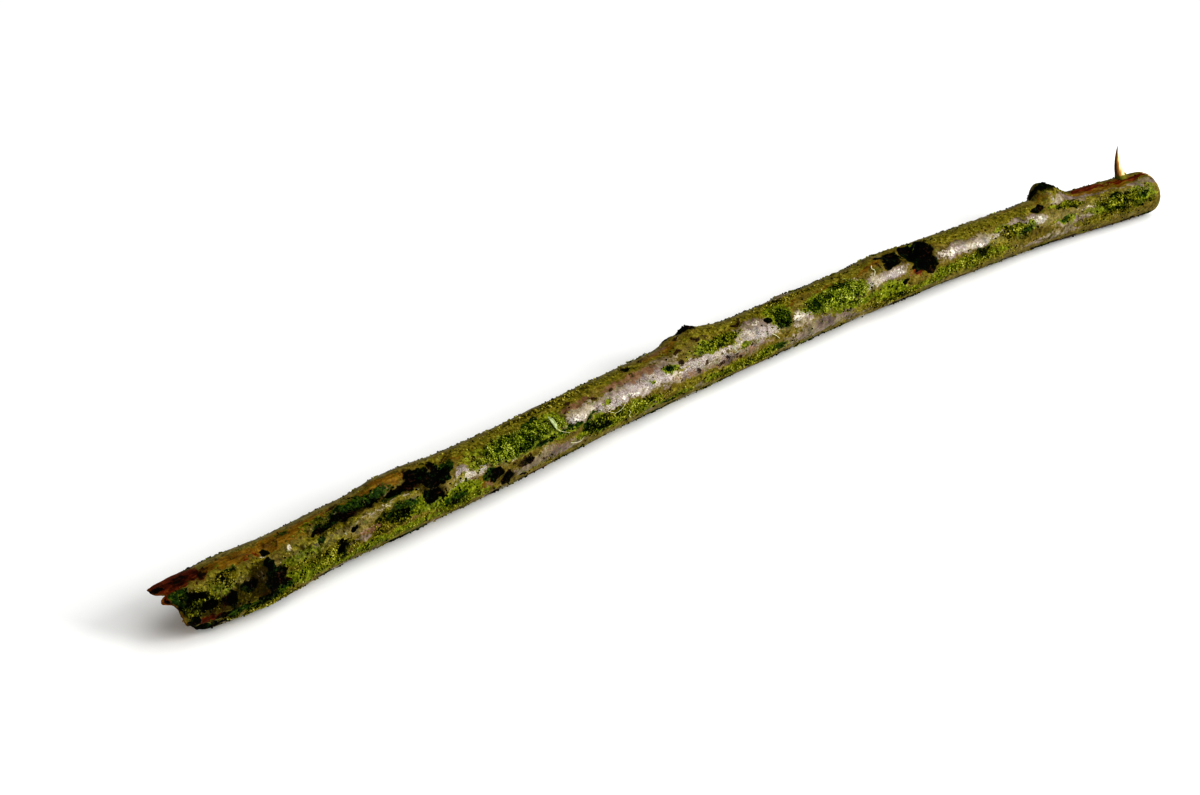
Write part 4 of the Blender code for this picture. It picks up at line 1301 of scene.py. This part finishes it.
# Each strand's radii at its two ends, then place, angle and height over the bark for each point
fibreRoutes = {
    "zigzag": (
        (0.04, 0.03),
        (-19.9, 152, 0.15), (-19.2, 158, 0.25), (-18.4, 163, 0.2), (-17.2, 161, 0.3), (-16.0, 155, 0.15),
    ),
    "squiggle": ((0.05, 0.04), (-15.7, 170, 0.1), (-15.4, 176, 0.25), (-15.7, 182, 0.2), (-15.2, 190, 0.15)),
    "curl": ((0.045, 0.03), (-28.4, 178, 0.1), (-27.4, 182, 0.25), (-26.4, 184, 0.25), (-25.6, 181, 0.1)),
    "strand": ((0.10, 0.06), (41.4, 99, 0.05), (40.9, 107, 0.2), (41.1, 115, 0.25), (40.5, 124, 0.15)),
    "stalk": ((0.045, 0.02), (-30.6, 139, 0.5), (-30.0, 145, 0.35), (-29.2, 151, 0.25), (-28.2, 157, 0.15)),
    "streak": ((0.07, 0.05), (16.6, 150, 0.05), (17.3, 158, 0.2), (17.9, 167, 0.1)),
}
strawLook = {
    "colours": ((0.3, (0.38, 0.36, 0.20)), (0.7, (0.72, 0.70, 0.48))),
    "grain": 0.3,
    "roughness": 0.6,
    "bump": 0.00003,
}


def strawMaterial():
    material, tree, shader = newMaterial("pale straw")
    grain = addNoise(tree, objectPlace(tree), strawLook["grain"], 3)
    feedAll(tree, shader, {
        "Base Color": addRamp(tree, grain, strawLook["colours"]),
        "Roughness": strawLook["roughness"],
        "Normal": addBump(tree, grain, strawLook["bump"]),
    })
    return material


def makeFibres():
    bm = bmesh.new()
    for radii, *points in fibreRoutes.values():
        strand = strandAlong([barkPoint(*point) for point in points], radii)
        bm.from_mesh(meshFrom(strand, "fibre"))
    finishPiece("paleFibres", meshFrom(bm, "paleFibres"), strawMaterial(), "moss")


makeFibres()

leafForm = {
    # place, angle and height over the bark
    "route": ((-31.0, 110, 0.5), (-31.0, 120, 0.85), (-30.9, 130, 0.85), (-30.6, 140, 0.5)),
    "sides": 10,
    "rings": 20,
    "halfBreadth": 0.40,
    "halfThickness": 0.10,
    "fold": 0.35,
    "grain": 0.25,
    "roughness": 0.55,
    "specular": 0.2,
    "bump": 0.00004,
    "colours": ((0.3, (0.13, 0.17, 0.05)), (0.52, (0.25, 0.29, 0.13)), (0.7, (0.44, 0.48, 0.28))),
}


def leafMaterial():
    material, tree, shader = newMaterial("small leaf")
    grain = addNoise(tree, objectPlace(tree, (1, 0.4, 0.4)), leafForm["grain"])
    feedAll(tree, shader, {
        "Base Color": addRamp(tree, grain, leafForm["colours"]),
        "Roughness": leafForm["roughness"],
        "Specular IOR Level": leafForm["specular"],
        "Normal": addBump(tree, grain, leafForm["bump"]),
    })
    return material


def makeLeaf():
    # a folded pointed leaf that lies on the moss, broadest at its middle
    bm = roundBar(leafForm["sides"], leafForm["rings"])
    points = [barkPoint(*point) for point in leafForm["route"]]
    for vert in bm.verts:
        share = (vert.co.z + 0.5) * (len(points) - 1)
        index = min(int(share), len(points) - 2)
        ahead = (points[index + 1] - points[index]).normalized()
        sideways = (Vector((1, 0, 0)) - ahead * ahead.x).normalized()
        swell = 0.12 + 0.88 * math.sin(math.pi * (vert.co.z + 0.5)) ** 0.8
        across = vert.co.x * leafForm["halfBreadth"] * swell
        height = vert.co.y * leafForm["halfThickness"] * swell + leafForm["fold"] * abs(across)
        middle = points[index].lerp(points[index + 1], share - index)
        vert.co = middle + (sideways * across + ahead.cross(sideways) * height) * mm
    bmesh.ops.recalc_face_normals(bm, faces=bm.faces)
    finishPiece("smallLeaf", meshFrom(bm, "smallLeaf"), leafMaterial(), "moss")


makeLeaf()

spikeForm = {
    "place": 100.65,
    "angle": 68,
    "length": 8.4,
    "sink": 1.2,
    "bend": 2.5,
    "sides": 14,
    "rings": 34,
    # share of the height, half breadth, half depth
    "profile": (
        (0.0, 1.80, 1.3), (0.14, 1.35, 1.00), (0.28, 1.02, 0.75), (0.42, 0.84, 0.65),
        (0.60, 0.56, 0.50), (0.80, 0.28, 0.26), (1.0, 0.05, 0.05),
    ),
    # painted light: the splinter's side facing this way, towards the lamps on the right, is coloured cream
    # and the far side dark brown
    "paintedLightFrom": Vector((0.797, -0.604, 0)),
    "colours": (
        (0.08, (0.075, 0.030, 0.026)), (0.34, (0.200, 0.090, 0.024)),
        (0.62, (0.380, 0.205, 0.050)), (0.92, (0.800, 0.640, 0.370)),
    ),
    "footColour": (0.120, 0.120, 0.008),
    "footFade": (0.16, 0.34),
    "roughness": (0.5, 0.75),
    "specular": 0.15,
    "bump": 0.0001,
}


def splinterMaterial():
    material, tree, shader = newMaterial("splinter wood")
    streak = addNoise(tree, objectPlace(tree, (1, 1, 0.16)), 0.35, 5)
    # side carries the painted light and shade across the splinter, foot its green collar
    side, foot = (addShift(tree, addAttribute(tree, key), streak, 0.9) for key in ("side", "foot"))
    colour = addRamp(tree, side, spikeForm["colours"])
    feedAll(tree, shader, {
        "Base Color": addMix(tree, addRange(tree, foot, 0.4, 0.6), colour, spikeForm["footColour"]),
        "Roughness": addRange(tree, streak, 0.3, 0.7, *spikeForm["roughness"]),
        "Specular IOR Level": spikeForm["specular"],
        "Normal": addBump(tree, streak, spikeForm["bump"]),
    })
    return material


def profileAt(share):
    rows = spikeForm["profile"]
    for first, last in zip(rows, rows[1:]):
        if share <= last[0]:
            local = (share - first[0]) / (last[0] - first[0])
            return between(first[1], last[1], local), between(first[2], last[2], local)
    return rows[-1][1:]


def makeUprightSplinter():
    bm = roundBar(spikeForm["sides"], spikeForm["rings"])
    side, low = (bm.verts.layers.float.new(key) for key in ("side", "foot"))
    foot = barkPoint(spikeForm["place"], spikeForm["angle"], fine=False)
    for vert in bm.verts:
        share = vert.co.z + 0.5
        breadth, depth = profileAt(share)
        uneven = 0.25 + 0.45 * (1 - smoothStep(0.05, 0.3, share))
        ridge = 1 + uneven * noise.noise(Vector((vert.co.x * 2.2, vert.co.y * 2.2, share * 1.5)))
        # painted light: 1 on the side facing the lamps, 0 on the far side
        vert[side] = 0.5 + 0.5 * vert.co.dot(spikeForm["paintedLightFrom"])
        vert[low] = 1 - smoothStep(*spikeForm["footFade"], share)
        lean = spikeForm["bend"] * (1 - (1 - share) ** 2)
        out = Vector((vert.co.x * breadth * ridge - lean, vert.co.y * depth * ridge, 0))
        out.z = share * spikeForm["length"] - spikeForm["sink"]
        vert.co = foot + out * mm
    finishPiece("uprightSplinter", meshFrom(bm, "uprightSplinter"), splinterMaterial(), "bark")


makeUprightSplinter()

# The stage: a pale floor, a soft dome and two soft panels
stageLook = {
    "floorColour": (0.765, 0.765, 0.755),
    "floorSize": 12.0,
    "floorRoughness": 0.9,
    "floorSpecular": 0.1,
    "dome": 0.345,
    # for each panel: place, breadth, height, power
    "lowWindow": (Vector((0.59, -0.88, 0.55)), 0.36, 0.80, 9.6),
    "highPanel": (Vector((0.38, -0.60, 1.00)), 1.55, 1.55, 13.7),
    "panelAim": Vector((0, 0, 0.005)),
    # the photo's viewing angle: down onto the twig, and round towards the splintered end
    "elevation": 35,
    "azimuth": -37.19,
    "target": Vector((-16.35, 3.9, 4.5)) * mm,
    "distance": 0.5,
    "lens": 90,
    "sensor": 36,
    "clip": (0.01, 50),
}


def pointAt(thing, place, direction):
    thing.location = place
    thing.rotation_mode = "QUATERNION"
    thing.rotation_quaternion = direction.to_track_quat("-Z", "Y")


def makeFloor():
    material, tree, shader = newMaterial("floor")
    cloud = addNoise(tree, objectPlace(tree), 40, 2)
    low = tuple(channel * 0.985 for channel in stageLook["floorColour"])
    feedAll(tree, shader, {
        "Base Color": addRamp(tree, cloud, ((0.3, low), (0.7, stageLook["floorColour"]))),
        "Roughness": stageLook["floorRoughness"],
        "Specular IOR Level": stageLook["floorSpecular"],
    })
    bm = bmesh.new()
    bmesh.ops.create_grid(bm, x_segments=2, y_segments=2, size=stageLook["floorSize"] / 2)
    mesh = meshFrom(bm, "floor")
    mesh.materials.append(material)
    floor = addToScene("floor", mesh)


def lightStage():
    world = bpy.data.worlds.new("dome")
    world.use_nodes = True
    background = world.node_tree.nodes["Background"]
    feedAll(world.node_tree, background, {"Color": (1, 1, 1), "Strength": stageLook["dome"]})
    bpy.context.scene.world = world
    for name in ("lowWindow", "highPanel"):
        place, breadth, height, power = stageLook[name]
        light = bpy.data.lights.new(name, "AREA")
        light.shape = "RECTANGLE"
        light.size = breadth
        light.size_y = height
        light.energy = power
        pointAt(addToScene(name, light), place, stageLook["panelAim"] - place)


def aimCamera():
    azimuth, elevation = (math.radians(stageLook[key]) for key in ("azimuth", "elevation"))
    level = math.cos(elevation)
    back = Vector((math.sin(azimuth) * level, -math.cos(azimuth) * level, math.sin(elevation)))
    lens = bpy.data.cameras.new("camera")
    lens.lens = stageLook["lens"]
    lens.sensor_width = stageLook["sensor"]
    lens.clip_start, lens.clip_end = stageLook["clip"]
    camera = addToScene("camera", lens)
    pointAt(camera, stageLook["target"] + back * stageLook["distance"], -back)
    bpy.context.scene.camera = camera


makeFloor()
lightStage()
aimCamera()
bpy.context.scene.view_settings.view_transform = "Standard"
bpy.context.scene.view_settings.look = "High Contrast"
print("stage is set")
